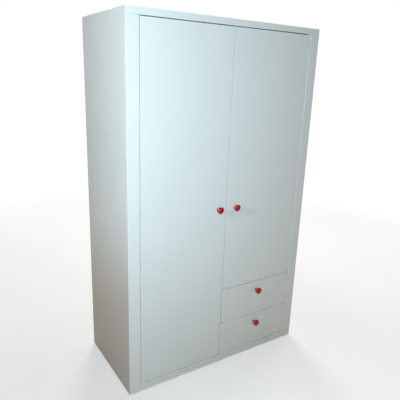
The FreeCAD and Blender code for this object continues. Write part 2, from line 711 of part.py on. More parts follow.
def make_door(side, left_edge, bottom, pivot_x, knob_x):
    """Make one door with everything that is fixed to it."""
    height = f"({DOOR_TOP} - {bottom})"
    slab = board(f"{side}_door_slab", left_edge, "recess", bottom, FRONT_WIDTH, "front_thickness", height,
                 (FRONT,))
    left_end = plate_left_end(side)
    y = "(recess + plate_front + plate_width / 2)"
    screws = []
    for number, along in enumerate(("plate_length / 3", "plate_length * 4 / 5")):
        x = f"({left_end} + {along})" if side == "left" else f"({left_end} + plate_length - {along})"
        screws.append(screw(f"{side}_door_head_screw_{number}", "-z", x, y,
                            f"({DOOR_TOP} - small_screw_head)", "small_screw"))
        screws.append(screw(f"{side}_door_foot_screw_{number}", "+z", x, y,
                            f"({bottom} + small_screw_head)", "small_screw"))
    screws.append(knob_screw(f"{side}_door_knob_screw", knob_x, "door_knob_height", FRONT_BACK,
                             "front_thickness"))
    screws = grouped(f"{side}_door_screws", screws)

    head_plate = mortised_plate(f"{side}_door_head_plate", left_end, DOOR_TOP, 0)
    foot_plate = mortised_plate(f"{side}_door_foot_plate", left_end, bottom, 1)
    head_bore = rod(f"{side}_head_bore", "z", pivot_x, PIVOT_Y, f"({DOOR_TOP} - plate_thickness)",
                    "(pivot_radius + pivot_fit)", "plate_thickness")
    foot_bore = rod(f"{side}_foot_bore", "z", pivot_x, PIVOT_Y, bottom, "(pivot_radius + pivot_fit)",
                    "plate_thickness")
    plates = grouped(f"{side}_door_pivot_plates", [
        carved(f"{side}_door_head_plate", head_plate, [head_bore, screws]),
        carved(f"{side}_door_foot_plate", foot_plate, [foot_bore, screws]),
    ])

    depth = "(plate_thickness + pivot_bite + pivot_play)"
    hole_radius = "(pivot_radius + 2 * pivot_fit)"
    head_hole = rod(f"{side}_head_hole", "z", pivot_x, PIVOT_Y, f"({DOOR_TOP} - {depth})", hole_radius, depth)
    foot_hole = rod(f"{side}_foot_hole", "z", pivot_x, PIVOT_Y, bottom, hole_radius, depth)
    head_seat = mortised_plate(f"{side}_head_seat", left_end, DOOR_TOP, 0)
    foot_seat = mortised_plate(f"{side}_foot_seat", left_end, bottom, 1)
    sub_part(carved(f"{side}_door_panel", slab, [head_seat, foot_seat, head_hole, foot_hole, screws]),
             f"{side}_door_panel")
    sub_part(plates, f"{side}_door_pivot_plates")
    knob = make_knob(f"{side}_door_knob", knob_x, "door_knob_height", "recess")
    sub_part(carved(f"{side}_door_knob", knob, [screws]), f"{side}_door_knob")
    make_strikes(side)
    sub_part(screws, f"{side}_door_screws")


# ---------------------------------------------------------------- runners and rollers

def runner_profile(name, hand, near, steps, y, length):
    """Fold a runner out of strips; each step is (offset in x, offset in z, across, up)."""
    strips = []
    for number, (offset, z, across, up) in enumerate(steps):
        x = f"({near} + {offset})" if hand > 0 else f"({near} - {offset} - {across})"
        strips.append(block(f"{name}_strip_{number}", x, y, z, across, length, up))
    return fused(name, strips)


def make_cabinet_runners(small_screws):
    """Make the four channels on the partition and on the packers, each with its front axle."""
    runners = []
    for name, drawer in DRAWERS.items():
        base = f"({drawer['bottom']} + box_rise)"
        floor = f"({base} + roller_rise - roller_radius - roller_play - runner_metal)"
        roof = f"({base} + roller_rise + roller_radius + 2 * roller_play + 2 * runner_metal)"
        reach = "(runner_space - 2 * runner_metal - side_play)"
        steps = (
            ("0", floor, "runner_metal", f"({roof} + runner_metal - {floor})"),
            ("runner_metal", floor, reach, "runner_metal"),
            ("runner_metal", roof, reach, "runner_metal"),
        )
        for side, hand, near in (("left", 1, PARTITION_RIGHT), ("right", -1, RIGHT_STILE_INSIDE)):
            profile = runner_profile(f"{name}_{side}_channel", hand, near, steps, INSIDE_FRONT,
                                     "runner_length")
            axle_length = "(runner_space - 2 * runner_metal - 2 * side_play)"
            axle_x = (f"({near} + runner_metal)" if hand > 0
                      else f"({near} - runner_metal - {axle_length})")
            axle = rod(f"{name}_{side}_channel_axle", "x", axle_x, f"({INSIDE_FRONT} + roller_end)",
                       f"({base} + roller_rise)", "axle_radius", axle_length)
            whole = fused(f"{name}_{side}_channel_whole", [profile, axle])
            runners.append(carved(f"{name}_{side}_channel_drilled", whole, [small_screws]))
    sub_part(grouped("cabinet_runners", runners), "cabinet_runners")


def make_drawer_runners(name, drawer):
    """Make a drawer's two runner strips, each with the axle of its rear roller."""
    base = f"({drawer['bottom']} + box_rise)"
    flange = f"({base} + roller_rise + roller_radius + roller_play)"
    reach = "(runner_space - 3 * runner_metal)"
    steps = (
        ("0", f"({base} - runner_metal)", "runner_metal", f"({flange} + 2 * runner_metal - {base})"),
        ("runner_metal", flange, f"({reach} - side_play)", "runner_metal"),
        ("(0 - runner_foot)", f"({base} - runner_metal)", "runner_foot", "runner_metal"),
    )
    runners = []
    for side, hand, near in (("left", -1, BOX_LEFT), ("right", 1, BOX_RIGHT)):
        profile = runner_profile(f"{name}_{side}_strip", hand, near, steps, FRONT_BACK, "runner_length")
        axle_length = "(runner_space - 2 * runner_metal - 2 * side_play)"
        axle_x = (f"({near} + runner_metal)" if hand > 0
                  else f"({near} - runner_metal - {axle_length})")
        axle = rod(f"{name}_{side}_strip_axle", "x", axle_x, f"({BOX_BACK} - roller_end)",
                   f"({base} + roller_rise)", "axle_radius", axle_length)
        runners.append(fused(f"{name}_{side}_strip_whole", [profile, axle]))
    return runners


def make_rollers(name, drawer, kind, y):
    """Make a pair of rollers on one line across the drawer."""
    base = f"({drawer['bottom']} + box_rise)"
    rollers = []
    centring = "((runner_space - roller_width) / 2)"
    for side, x in (("left", f"({PARTITION_RIGHT} + {centring})"),
                    ("right", f"({RIGHT_STILE_INSIDE} - {centring} - roller_width)")):
        wheel = rod(f"{name}_{side}_{kind}_wheel", "x", x, y, f"({base} + roller_rise)", "roller_radius",
                    "roller_width")
        bore = rod(f"{name}_{side}_{kind}_bore", "x", x, y, f"({base} + roller_rise)",
                   "(axle_radius + axle_fit)", "roller_width")
        rollers.append(carved(f"{name}_{side}_{kind}_roller", wheel, [bore]))
    sub_part(grouped(f"{name}_drawer_{kind}_rollers", rollers), f"{name}_drawer_{kind}_rollers")


def make_runner_packers(small_screws):
    """Make the battens behind the right stile that carry the right-hand channels."""
    packers = []
    for name, drawer in DRAWERS.items():
        middle = f"({drawer['bottom']} + box_rise + roller_rise)"
        batten = block(f"{name}_packer_batten", RIGHT_STILE_INSIDE, "stile_depth",
                       f"({middle} - packer_height / 2)", "(stile_width - side_thickness)",
                       "(runner_length + front_to_inside)", "packer_height")
        packers.append(carved(f"{name}_packer", batten, [small_screws]))
    sub_part(grouped("runner_packers", packers), "runner_packers")


# ---------------------------------------------------------------- drawers

def make_drawer(name, drawer):
    """Make one drawer: front, four-sided box, bottom, runner strips, knob and screws."""
    base = f"({drawer['bottom']} + box_rise)"
    floor = f"({base} + bottom_rise)"
    inside_left = f"({BOX_LEFT} + box_thickness)"
    inside_width = f"({BOX_RIGHT} - {BOX_LEFT} - 2 * box_thickness)"
    box_front = FRONT_BACK
    box_height = f"({drawer['top']} - {base} - {name}_box_headroom)"
    knob_x = f"(({RIGHT_DOOR_LEFT} + {RIGHT_DOOR_LEFT} + {FRONT_WIDTH}) / 2)"
    knob_z = f"({drawer['top']} - drawer_knob_drop)"

    bottom_top = "(bottom_rise + bottom_thickness)"
    low_level = f"({bottom_top} + ({box_height} - {bottom_top}) * low_screw_share)"
    screws = []
    for level_name, level in (("low", low_level), ("high", f"{box_height} * 3 / 4")):
        z = f"({base} + {level})"
        for end_name, y in (("front", f"({box_front} + box_thickness / 2)"),
                            ("back", f"({BOX_BACK} - box_thickness / 2)")):
            screws.append(screw(f"{name}_{level_name}_{end_name}_left_screw", "+x",
                                f"({BOX_LEFT} + box_screw_head)", y, z, "box_screw"))
            screws.append(screw(f"{name}_{level_name}_{end_name}_right_screw", "-x",
                                f"({BOX_RIGHT} - box_screw_head)", y, z, "box_screw"))
        for side, share in (("left", "1 / 6"), ("right", "5 / 6")):
            screws.append(screw(f"{name}_{level_name}_{side}_front_screw", "-y",
                                f"({inside_left} + {inside_width} * {share})",
                                f"({box_front} + box_thickness)", z, "box_screw",
                                "(box_screw_length - box_thickness / 2)"))
    screws.append(knob_screw(f"{name}_drawer_knob_screw", knob_x, knob_z, f"({box_front} + box_thickness)",
                             "(box_thickness + front_thickness)"))
    screws = grouped(f"{name}_drawer_screws", screws)

    groove_start = f"({box_front} + box_thickness - groove_depth)"
    groove_length = "(runner_length - box_thickness + groove_depth)"
    groove = block(f"{name}_bottom_groove", f"({inside_left} - groove_depth)", groove_start,
                   f"({floor} - groove_play)", f"({inside_width} + 2 * groove_depth)", groove_length,
                   "(bottom_thickness + 2 * groove_play)")
    slab = board(f"{name}_front_slab", RIGHT_DOOR_LEFT, "recess", drawer["bottom"], FRONT_WIDTH,
                 "front_thickness", f"({drawer['top']} - {drawer['bottom']})", (FRONT,))
    sub_part(carved(f"{name}_drawer_front", slab, [screws]), f"{name}_drawer_front")

    for part_name, x, y, z, across, deep, up in (
            ("box_front", inside_left, box_front, base, inside_width, "box_thickness", box_height),
            ("left_side", BOX_LEFT, box_front, base, "box_thickness", "runner_length", box_height),
            ("right_side", f"({BOX_RIGHT} - box_thickness)", box_front, base, "box_thickness",
             "runner_length", box_height),
            ("back", inside_left, f"({BOX_BACK} - box_thickness)",
             f"({floor} + bottom_thickness + groove_play)", inside_width, "box_thickness",
             f"({box_height} - bottom_rise - bottom_thickness - groove_play)")):
        piece = block(f"{name}_{part_name}_blank", x, y, z, across, deep, up)
        sub_part(carved(f"{name}_drawer_{part_name}", piece, [groove, screws]),
                 f"{name}_drawer_{part_name}")

    sub_part(block(f"{name}_drawer_bottom", f"({inside_left} - groove_depth + groove_play)",
                   f"({groove_start} + groove_play)", floor,
                   f"({inside_width} + 2 * groove_depth - 2 * groove_play)",
                   f"({groove_length} - groove_play)", "bottom_thickness"), f"{name}_drawer_bottom")
    sub_part(grouped(f"{name}_drawer_runners", make_drawer_runners(name, drawer)),
             f"{name}_drawer_runners")
    knob = make_knob(f"{name}_drawer_knob", knob_x, knob_z, "recess")
    sub_part(carved(f"{name}_drawer_knob", knob, [screws]), f"{name}_drawer_knob")
    sub_part(screws, f"{name}_drawer_screws")
    make_rollers(name, drawer, "fixed", f"({INSIDE_FRONT} + roller_end)")
    make_rollers(name, drawer, "running", f"({BOX_BACK} - roller_end)")


# ---------------------------------------------------------------- whole wardrobe and export

def make_wardrobe():
    """Build every sub-part of the wardrobe."""
    cam_discs, cam_bolts = make_cam_fittings()
    small_screws = make_small_screws()
    shelf_pins = make_shelf_pins()
    left_pivots = make_frame_pivots("left", LEFT_PIVOT_X)
    right_pivots = make_frame_pivots("right", RIGHT_PIVOT_X)
    make_carcass(cam_discs, cam_bolts, small_screws, (left_pivots, right_pivots), shelf_pins)
    make_shelves(cam_discs, cam_bolts, small_screws)
    make_clothes_rail(small_screws)
    make_floor_glides()
    make_catches()
    make_bumpers()
    make_door("left", LEFT_DOOR_LEFT, LOW_FRONT_BOTTOM, LEFT_PIVOT_X, f"({MIDDLE} - door_knob_offset)")
    make_door("right", RIGHT_DOOR_LEFT, "right_door_bottom", RIGHT_PIVOT_X,
              f"({MIDDLE} + door_knob_offset)")
    make_cabinet_runners(small_screws)
    make_runner_packers(small_screws)
    for name, drawer in DRAWERS.items():
        make_drawer(name, drawer)
    for side, pivots in (("left", left_pivots), ("right", right_pivots)):
        sub_part(carved(f"{side}_pivots_drilled", pivots, [small_screws]), f"{side}_frame_pivots")
    sub_part(cam_discs, "cam_discs")
    sub_part(cam_bolts, "cam_bolts")
    sub_part(small_screws, "small_screws")
    sub_part(shelf_pins, "shelf_pins")


def check_document():
    """Stop if any object failed or any sub-part has no valid shape."""
    for item in doc.Objects:
        if "Invalid" in item.State or "Error" in item.State:
            raise RuntimeError(f"{item.Label} failed: {item.State}")
    for piece in sub_parts:
        if piece.Shape.isNull() or not piece.Shape.isValid() or not piece.Shape.Solids:
            raise RuntimeError(f"{piece.Label} has no valid solid")


def export_sub_parts():
    """Write each sub-part to its own file."""
    os.makedirs("parts", exist_ok=True)
    for piece in sub_parts:
        piece.Shape.exportStep(f"parts/{piece.Label}.step")
        print(piece.Label, len(piece.Shape.Solids), round(piece.Shape.Volume))


make_sheet()
make_wardrobe()
doc.recompute()
check_document()
export_sub_parts()
print(len(sub_parts), "sub-parts")
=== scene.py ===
"""Looks of the wardrobe: lacquered boards, heart knobs, fittings, a drawer box and the studio.

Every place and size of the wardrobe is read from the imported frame, in metres. The front faces -Y.
"""

import logging
import math
from dataclasses import dataclass, field
from enum import Enum
from typing import Callable, Iterator, Sequence

import bmesh
import bpy
from mathutils import Matrix, Vector


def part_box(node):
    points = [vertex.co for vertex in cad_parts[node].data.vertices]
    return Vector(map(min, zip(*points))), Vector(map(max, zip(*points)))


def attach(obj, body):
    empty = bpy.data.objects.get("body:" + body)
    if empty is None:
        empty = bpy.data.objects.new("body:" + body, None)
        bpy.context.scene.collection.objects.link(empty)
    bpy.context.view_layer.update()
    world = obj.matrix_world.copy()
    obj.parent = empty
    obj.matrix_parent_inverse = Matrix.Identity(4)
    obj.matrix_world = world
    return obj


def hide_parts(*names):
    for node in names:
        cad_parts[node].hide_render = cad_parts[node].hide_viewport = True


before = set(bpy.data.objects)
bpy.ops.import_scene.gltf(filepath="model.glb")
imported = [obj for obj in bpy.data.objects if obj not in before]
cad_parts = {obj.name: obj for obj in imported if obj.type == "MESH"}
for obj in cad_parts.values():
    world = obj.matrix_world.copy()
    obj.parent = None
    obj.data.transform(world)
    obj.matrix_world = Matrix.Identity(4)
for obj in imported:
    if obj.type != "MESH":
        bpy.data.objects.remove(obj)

LOG = logging.getLogger("wardrobe")
MM = 0.001
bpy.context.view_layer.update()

Colour = tuple[float, float, float]
Value = object


class Slot(Enum):
    """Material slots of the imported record."""

    LACQUER = "white_lacquer"
    MELAMINE = "white_melamine"
    HARDBOARD = "hardboard"
    TIMBER = "bare_timber"
    RED = "red_gloss"
    ZINC = "zinc_steel"
    CHROME = "bright_chrome"
    EPOXY = "white_epoxy"
    NYLON = "nylon"
    PLASTIC = "white_plastic"
    RUBBER = "clear_rubber"


class Side(Enum):
    """The two doors."""

    LEFT = "left"
    RIGHT = "right"


class Level(Enum):
    """The two drawers."""

    LOWER = "lower"
    UPPER = "upper"


# ---------------------------------------------------------------- node wiring

class Wiring:
    """Adds nodes to one node tree and links them."""

    def __init__(self, tree: bpy.types.NodeTree) -> None:
        """Keep the tree that the nodes go into."""
        self.tree = tree

    def feed(self, socket: bpy.types.NodeSocket, value: Value) -> None:
        """Link a socket to another one, or set its own value.

        Args:
            socket: The input to feed.
            value: An output socket, or a plain number, colour or vector.
        """
        if isinstance(value, bpy.types.NodeSocket):
            self.tree.links.new(value, socket)
        else:
            socket.default_value = value

    def add(self, kind: str, inputs: dict | None = None, **settings: Value) -> bpy.types.Node:
        """Add one node.

        Args:
            kind: The node's type name.
            inputs: Values or sockets by input name or number.
            settings: The node's own properties.

        Returns:
            The new node.
        """
        node = self.tree.nodes.new(kind)
        for name, value in settings.items():
            setattr(node, name, value)
        for key, value in (inputs or {}).items():
            self.feed(node.inputs[key], value)
        return node

    def maths(self, operation: str, first: Value, second: Value = 0.0) -> bpy.types.NodeSocket:
        """Return the result of one sum on two values, not clamped."""
        return self.add("ShaderNodeMath", {0: first, 1: second}, operation=operation).outputs[0]

    def noise(self, vector: Value, scale: Value, detail: float = 2.0) -> bpy.types.NodeSocket:
        """Return smooth noise between 0 and 1 at a scale in features per metre."""
        inputs = {"Vector": vector, "Scale": scale, "Detail": detail}
        return self.add("ShaderNodeTexNoise", inputs).outputs[0]

    def remap(self, value: Value, low: Value, high: Value, to_low: Value = 0.0,
              to_high: Value = 1.0) -> bpy.types.NodeSocket:
        """Stretch a value from one range to another, clamped.

        Args:
            value: The value to stretch.
            low: Where the source range starts.
            high: Where the source range ends.
            to_low: What low becomes.
            to_high: What high becomes.

        Returns:
            The stretched value.
        """
        inputs = {"Value": value, "From Min": low, "From Max": high, "To Min": to_low, "To Max": to_high}
        return self.add("ShaderNodeMapRange", inputs, interpolation_type="LINEAR").outputs[0]

    def blend(self, factor: Value, first: Value, second: Value) -> bpy.types.NodeSocket:
        """Mix two colours by a factor."""
        colours = [(*c, 1.0) if isinstance(c, tuple) and len(c) == 3 else c for c in (first, second)]
        inputs = {0: factor, 6: colours[0], 7: colours[1]}
        return self.add("ShaderNodeMix", inputs, data_type="RGBA").outputs[2]

    def stretch(self, vector: Value, scale: Value) -> bpy.types.NodeSocket:
        """Scale a vector along its own axes."""
        inputs = {0: vector, 1: scale}
        return self.add("ShaderNodeVectorMath", inputs, operation="MULTIPLY").outputs[0]


# ---------------------------------------------------------------- shared surface effects

class Effects:
    """Shader node groups that several finishes share, each built once."""

    def __init__(self) -> None:
        """Start with no groups built."""
        self.built: dict[str, bpy.types.NodeTree] = {}

    def group(self, name: str, inputs: dict[str, tuple[str, Value]], outputs: Sequence[str],
              wire: Callable[[Wiring, dict, dict], None]) -> bpy.types.NodeTree:
        """Build a group the first time it is asked for.

        Args:
            name: The group's name.
            inputs: Socket type and default value by input name.
            outputs: Names of the float outputs.
            wire: Function that adds the nodes between inputs and outputs.

        Returns:
            The node group.
        """
        if name in self.built:
            return self.built[name]
        tree = bpy.data.node_groups.new(name, "ShaderNodeTree")
        for label, (kind, default) in inputs.items():
            socket = tree.interface.new_socket(label, in_out="INPUT", socket_type=f"NodeSocket{kind}")
            if default is not None:
                socket.default_value = default
        for label in outputs:
            tree.interface.new_socket(label, in_out="OUTPUT", socket_type="NodeSocketFloat")
        wiring = Wiring(tree)
        source = tree.nodes.new("NodeGroupInput").outputs
        result = tree.nodes.new("NodeGroupOutput").inputs
        wire(wiring, source, result)
        self.built[name] = tree
        return tree

    def use(self, wiring: Wiring, tree: bpy.types.NodeTree, values: dict[str, Value]) -> bpy.types.Node:
        """Place a group in a material with its own values."""
        node = wiring.tree.nodes.new("ShaderNodeGroup")
        node.node_tree = tree
        for key, value in values.items():
            wiring.feed(node.inputs[key], value)
        return node

    def edge_wear(self) -> bpy.types.NodeTree:
        """Return the group that masks rubbed edges, broken up by noise."""
        def wire(wiring: Wiring, source: dict, result: dict) -> None:
            rounded = wiring.add("ShaderNodeBevel", {"Radius": source["Radius"]}, samples=4).outputs[0]
            surface = wiring.add("ShaderNodeNewGeometry").outputs["Normal"]
            match = wiring.add("ShaderNodeVectorMath", {0: rounded, 1: surface},
                               operation="DOT_PRODUCT").outputs["Value"]
            edge = wiring.remap(match, 0.995, 0.9)
            patches = wiring.remap(wiring.noise(source["Vector"], source["Scale"], 4.0), 0.42, 0.62)
            wiring.feed(result["Mask"], wiring.maths("MULTIPLY", edge, patches))
        inputs = {"Vector": ("Vector", None), "Radius": ("Float", 0.001), "Scale": ("Float", 40.0)}
        return self.group("edge_wear", inputs, ("Mask",), wire)

    def lacquer_skin(self) -> bpy.types.NodeTree:
        """Return the group for the fine ripple and slow waviness of a sprayed coat."""
        def wire(wiring: Wiring, source: dict, result: dict) -> None:
            ripple = wiring.noise(source["Vector"], source["Ripple scale"], 2.0)
            wave = wiring.noise(source["Vector"], source["Wave scale"], 1.0)
            waves = wiring.maths("MULTIPLY", wave, source["Wave height"])
            wiring.feed(result["Height"], wiring.maths("ADD", ripple, waves))
            wiring.feed(result["Cloud"], wiring.noise(source["Vector"], source["Cloud scale"], 3.0))
        inputs = {"Vector": ("Vector", None), "Ripple scale": ("Float", 600.0), "Wave scale": ("Float", 9.0),
                  "Wave height": ("Float", 2.0), "Cloud scale": ("Float", 2.5)}
        return self.group("lacquer_skin", inputs, ("Height", "Cloud"), wire)

    def dust(self) -> bpy.types.NodeTree:
        """Return the group that masks dust settled on faces that look up."""
        def wire(wiring: Wiring, source: dict, result: dict) -> None:
            normal = wiring.add("ShaderNodeTexCoord").outputs["Normal"]
            up = wiring.add("ShaderNodeSeparateXYZ", {0: normal}).outputs["Z"]
            level = wiring.remap(up, 0.75, 1.0)
            drift = wiring.remap(wiring.noise(source["Vector"], source["Scale"], 5.0), 0.35, 0.75)
            wiring.feed(result["Mask"], wiring.maths("MULTIPLY", level, drift))
        inputs = {"Vector": ("Vector", None), "Scale": ("Float", 14.0)}
        return self.group("dust", inputs, ("Mask",), wire)

    def crevice(self) -> bpy.types.NodeTree:
        """Return the group that masks painted shade in joints and narrow gaps, found by occlusion and broken
        up by noise.
        """
        def wire(wiring: Wiring, source: dict, result: dict) -> None:
            # Painted shade: occlusion by nearby parts sets where the surface is darkened.
            hidden = wiring.add("ShaderNodeAmbientOcclusion", {"Distance": source["Reach"]}, samples=8)
            shut = wiring.remap(hidden.outputs["AO"], 0.75, 0.2)
            broken = wiring.remap(wiring.noise(source["Vector"], source["Scale"], 3.0), 0.3, 0.7, 0.75, 1.0)
            wiring.feed(result["Mask"], wiring.maths("MULTIPLY", shut, broken))
        inputs = {"Vector": ("Vector", None), "Reach": ("Float", 0.006), "Scale": ("Float", 30.0)}
        return self.group("crevice", inputs, ("Mask",), wire)

    def handling(self) -> bpy.types.NodeTree:
        """Return the group for smudges and fine scratches that change a gloss."""
        def wire(wiring: Wiring, source: dict, result: dict) -> None:
            smudge = wiring.remap(wiring.noise(source["Vector"], source["Scale"], 3.0), 0.4, 0.7)
            bent = wiring.stretch(source["Vector"], (1.0, 1.0, 0.06))
            hair = wiring.remap(wiring.noise(bent, wiring.maths("MULTIPLY", source["Scale"], 30.0), 1.0),
                                0.66, 0.72)
            wiring.feed(result["Smudge"], smudge)
            wiring.feed(result["Scratch"], hair)
        inputs = {"Vector": ("Vector", None), "Scale": ("Float", 12.0)}
        return self.group("handling", inputs, ("Smudge", "Scratch"), wire)

    def grain(self) -> bpy.types.NodeTree:
        """Return the group for long fibres, rings or brushing along one axis."""
        def wire(wiring: Wiring, source: dict, result: dict) -> None:
            along = wiring.stretch(source["Vector"], source["Stretch"])
            coarse = wiring.noise(along, source["Scale"], 4.0)
            fine = wiring.noise(along, wiring.maths("MULTIPLY", source["Scale"], 6.0), 3.0)
            rings = wiring.maths("FRACT", wiring.maths("MULTIPLY", coarse, source["Rings"]))
            wiring.feed(result["Rings"], rings)
            wiring.feed(result["Fibre"], fine)
        inputs = {"Vector": ("Vector", None), "Stretch": ("Vector", (1.0, 0.05, 1.0)),
                  "Scale": ("Float", 30.0), "Rings": ("Float", 9.0)}
        return self.group("grain", inputs, ("Rings", "Fibre"), wire)


EFFECTS = Effects()


# ---------------------------------------------------------------- finishes

# Dark grey of the painted shade in joints and narrow gaps, not a dirt colour.
PAINTED_SHADE_COLOUR: Colour = (0.10, 0.10, 0.105)
DUST: Colour = (0.42, 0.40, 0.37)
RUBBED_REACH = 1.6 * MM


@dataclass(frozen=True)
class Finish:
    """A surface finish that makes its own material.

    Attributes:
        slot: The record's slot that the finish stands for.
        colour: Linear base colour.
        roughness: Mean roughness.
    """

    slot: Slot
    colour: Colour
    roughness: float

    def material(self) -> bpy.types.Material:
        """Build the material with its shader, coordinates and output.

        Returns:
            The finished material.
        """
        material = bpy.data.materials.new(f"{self.slot.value}_finish")
        material.use_nodes = True
        material.node_tree.nodes.clear()
        wiring = Wiring(material.node_tree)
        shader = wiring.add("ShaderNodeBsdfPrincipled")
        place = wiring.add("ShaderNodeTexCoord").outputs["Object"]
        self.dress(wiring, shader, place)
        wiring.add("ShaderNodeOutputMaterial", {"Surface": shader.outputs[0]})
        material.diffuse_color = (*self.colour, 1.0)
        return material

    def dress(self, wiring: Wiring, shader: bpy.types.Node, place: bpy.types.NodeSocket) -> None:
        """Feed the shader. Each kind of finish has its own way."""
        raise NotImplementedError

    def relief(self, wiring: Wiring, shader: bpy.types.Node, height: Value, depth: float,
               strength: float = 1.0) -> None:
        """Turn a height into the shader's normal.

        Args:
            wiring: Where the node goes.
            shader: The shader whose normal is fed.
            height: Height between about 0 and 1.
            depth: What a height of 1 means, in metres.
            strength: How much of it shows.
        """
        bump = wiring.add("ShaderNodeBump", {"Height": height, "Distance": depth, "Strength": strength})
        wiring.feed(shader.inputs["Normal"], bump.outputs[0])


@dataclass(frozen=True)
class Coated(Finish):
    """Lacquer, melamine, powder coat or moulded plastic.

    Attributes:
        shade: The colour that the slow clouding leans to.
        worn: What a rubbed edge shows.
        ripple: Ripples per metre of the skin.
        ripple_depth: Height of the ripple, in metres.
        wear: How much of the worn colour shows.
        painted_shade: How much painted shade darkens the joints and narrow gaps.
        dusty: How much dust lies on faces that look up.
        coat: Weight of a clear coat.
    """

    shade: Colour = (0.8, 0.8, 0.8)
    worn: Colour = (0.6, 0.58, 0.55)
    ripple: float = 600.0
    ripple_depth: float = 0.00001
    wear: float = 0.3
    painted_shade: float = 0.5
    dusty: float = 0.1
    coat: float = 0.0

    def dress(self, wiring: Wiring, shader: bpy.types.Node, place: bpy.types.NodeSocket) -> None:
        """Cloud the colour, rub the edges, paint shade into joints and narrow gaps, settle dust and ripple
        the skin.
        """
        skin = EFFECTS.use(wiring, EFFECTS.lacquer_skin(), {"Vector": place, "Ripple scale": self.ripple})
        marks = EFFECTS.use(wiring, EFFECTS.handling(), {"Vector": place})
        rubbed = EFFECTS.use(wiring, EFFECTS.edge_wear(), {"Vector": place, "Radius": RUBBED_REACH})
        dust = EFFECTS.use(wiring, EFFECTS.dust(), {"Vector": place})
        colour = wiring.blend(skin.outputs["Cloud"], self.colour, self.shade)
        colour = wiring.blend(wiring.maths("MULTIPLY", rubbed.outputs[0], self.wear), colour, self.worn)
        # Painted shade: occlusion darkens joints and narrow gaps towards a dark grey.
        shade_in_gaps = EFFECTS.use(wiring, EFFECTS.crevice(), {"Vector": place})
        colour = wiring.blend(wiring.maths("MULTIPLY", shade_in_gaps.outputs[0], self.painted_shade), colour, PAINTED_SHADE_COLOUR)
        settled = wiring.maths("MULTIPLY", dust.outputs[0], self.dusty)
        colour = wiring.blend(settled, colour, DUST)
        wiring.feed(shader.inputs["Base Color"], colour)
        gloss = wiring.remap(marks.outputs["Smudge"], 0.0, 1.0, self.roughness - 0.05, self.roughness + 0.07)
        wiring.feed(shader.inputs["Roughness"], wiring.maths("ADD", gloss, settled))
        shader.inputs["Coat Weight"].default_value = self.coat
        shader.inputs["Coat Roughness"].default_value = 0.12
        self.relief(wiring, shader, skin.outputs["Height"], self.ripple_depth)


@dataclass(frozen=True)
class Enamel(Finish):
    """Deep glossy paint of the knobs, under a clear coat.

    Attributes:
        depth: How much darker the clouds are than the colour.
        speck: Colour of the fine speckle.
    """

    depth: float = 0.62
    speck: Colour = (0.75, 0.12, 0.1)

    def dress(self, wiring: Wiring, shader: bpy.types.Node, place: bpy.types.NodeSocket) -> None:
        """Deepen the colour in slow clouds, add speckle, smudges and a faint ripple."""
        skin = EFFECTS.use(wiring, EFFECTS.lacquer_skin(),
                           {"Vector": place, "Ripple scale": 420.0, "Wave scale": 60.0, "Cloud scale": 45.0})
        marks = EFFECTS.use(wiring, EFFECTS.handling(), {"Vector": place, "Scale": 70.0})
        deep = tuple(c * self.depth for c in self.colour)
        colour = wiring.blend(wiring.remap(skin.outputs["Cloud"], 0.3, 0.8), self.colour, deep)
        speckle = wiring.remap(wiring.noise(place, 2600.0, 1.0), 0.62, 0.8, 0.0, 0.12)
        colour = wiring.blend(speckle, colour, self.speck)
        wiring.feed(shader.inputs["Base Color"], colour)
        gloss = wiring.remap(marks.outputs["Smudge"], 0.0, 1.0, self.roughness, self.roughness + 0.1)
        wiring.feed(shader.inputs["Roughness"], gloss)
        shader.inputs["Coat Weight"].default_value = 0.7
        shader.inputs["Coat Roughness"].default_value = 0.08
        self.relief(wiring, shader, skin.outputs["Height"], 0.00002)


@dataclass(frozen=True)
class Metal(Finish):
    """Zinc plate or bright chrome.

    Attributes:
        stain: Colour of the duller patches.
        brushing: How strongly the fine lines show.
    """

    stain: Colour = (0.4, 0.4, 0.4)
    brushing: float = 0.5

    def dress(self, wiring: Wiring, shader: bpy.types.Node, place: bpy.types.NodeSocket) -> None:
        """Mottle the plating, draw fine lines and vary the gloss."""
        lines = EFFECTS.use(wiring, EFFECTS.grain(), {"Vector": place, "Stretch": (1.0, 1.0, 0.04),
                                                      "Scale": 500.0})
        marks = EFFECTS.use(wiring, EFFECTS.handling(), {"Vector": place, "Scale": 60.0})
        patches = wiring.remap(wiring.noise(place, 240.0, 5.0), 0.35, 0.75)
        colour = wiring.blend(patches, self.colour, self.stain)
        wiring.feed(shader.inputs["Base Color"], colour)
        shader.inputs["Metallic"].default_value = 1.0
        low, high = self.roughness * 0.8, min(1.0, self.roughness * 1.6 + 0.03)
        wiring.feed(shader.inputs["Roughness"], wiring.remap(marks.outputs["Smudge"], 0.0, 1.0, low, high))
        height = wiring.maths("ADD", lines.outputs["Fibre"],
                              wiring.maths("MULTIPLY", marks.outputs["Scratch"], -0.5))
        self.relief(wiring, shader, height, 0.00001, self.brushing)


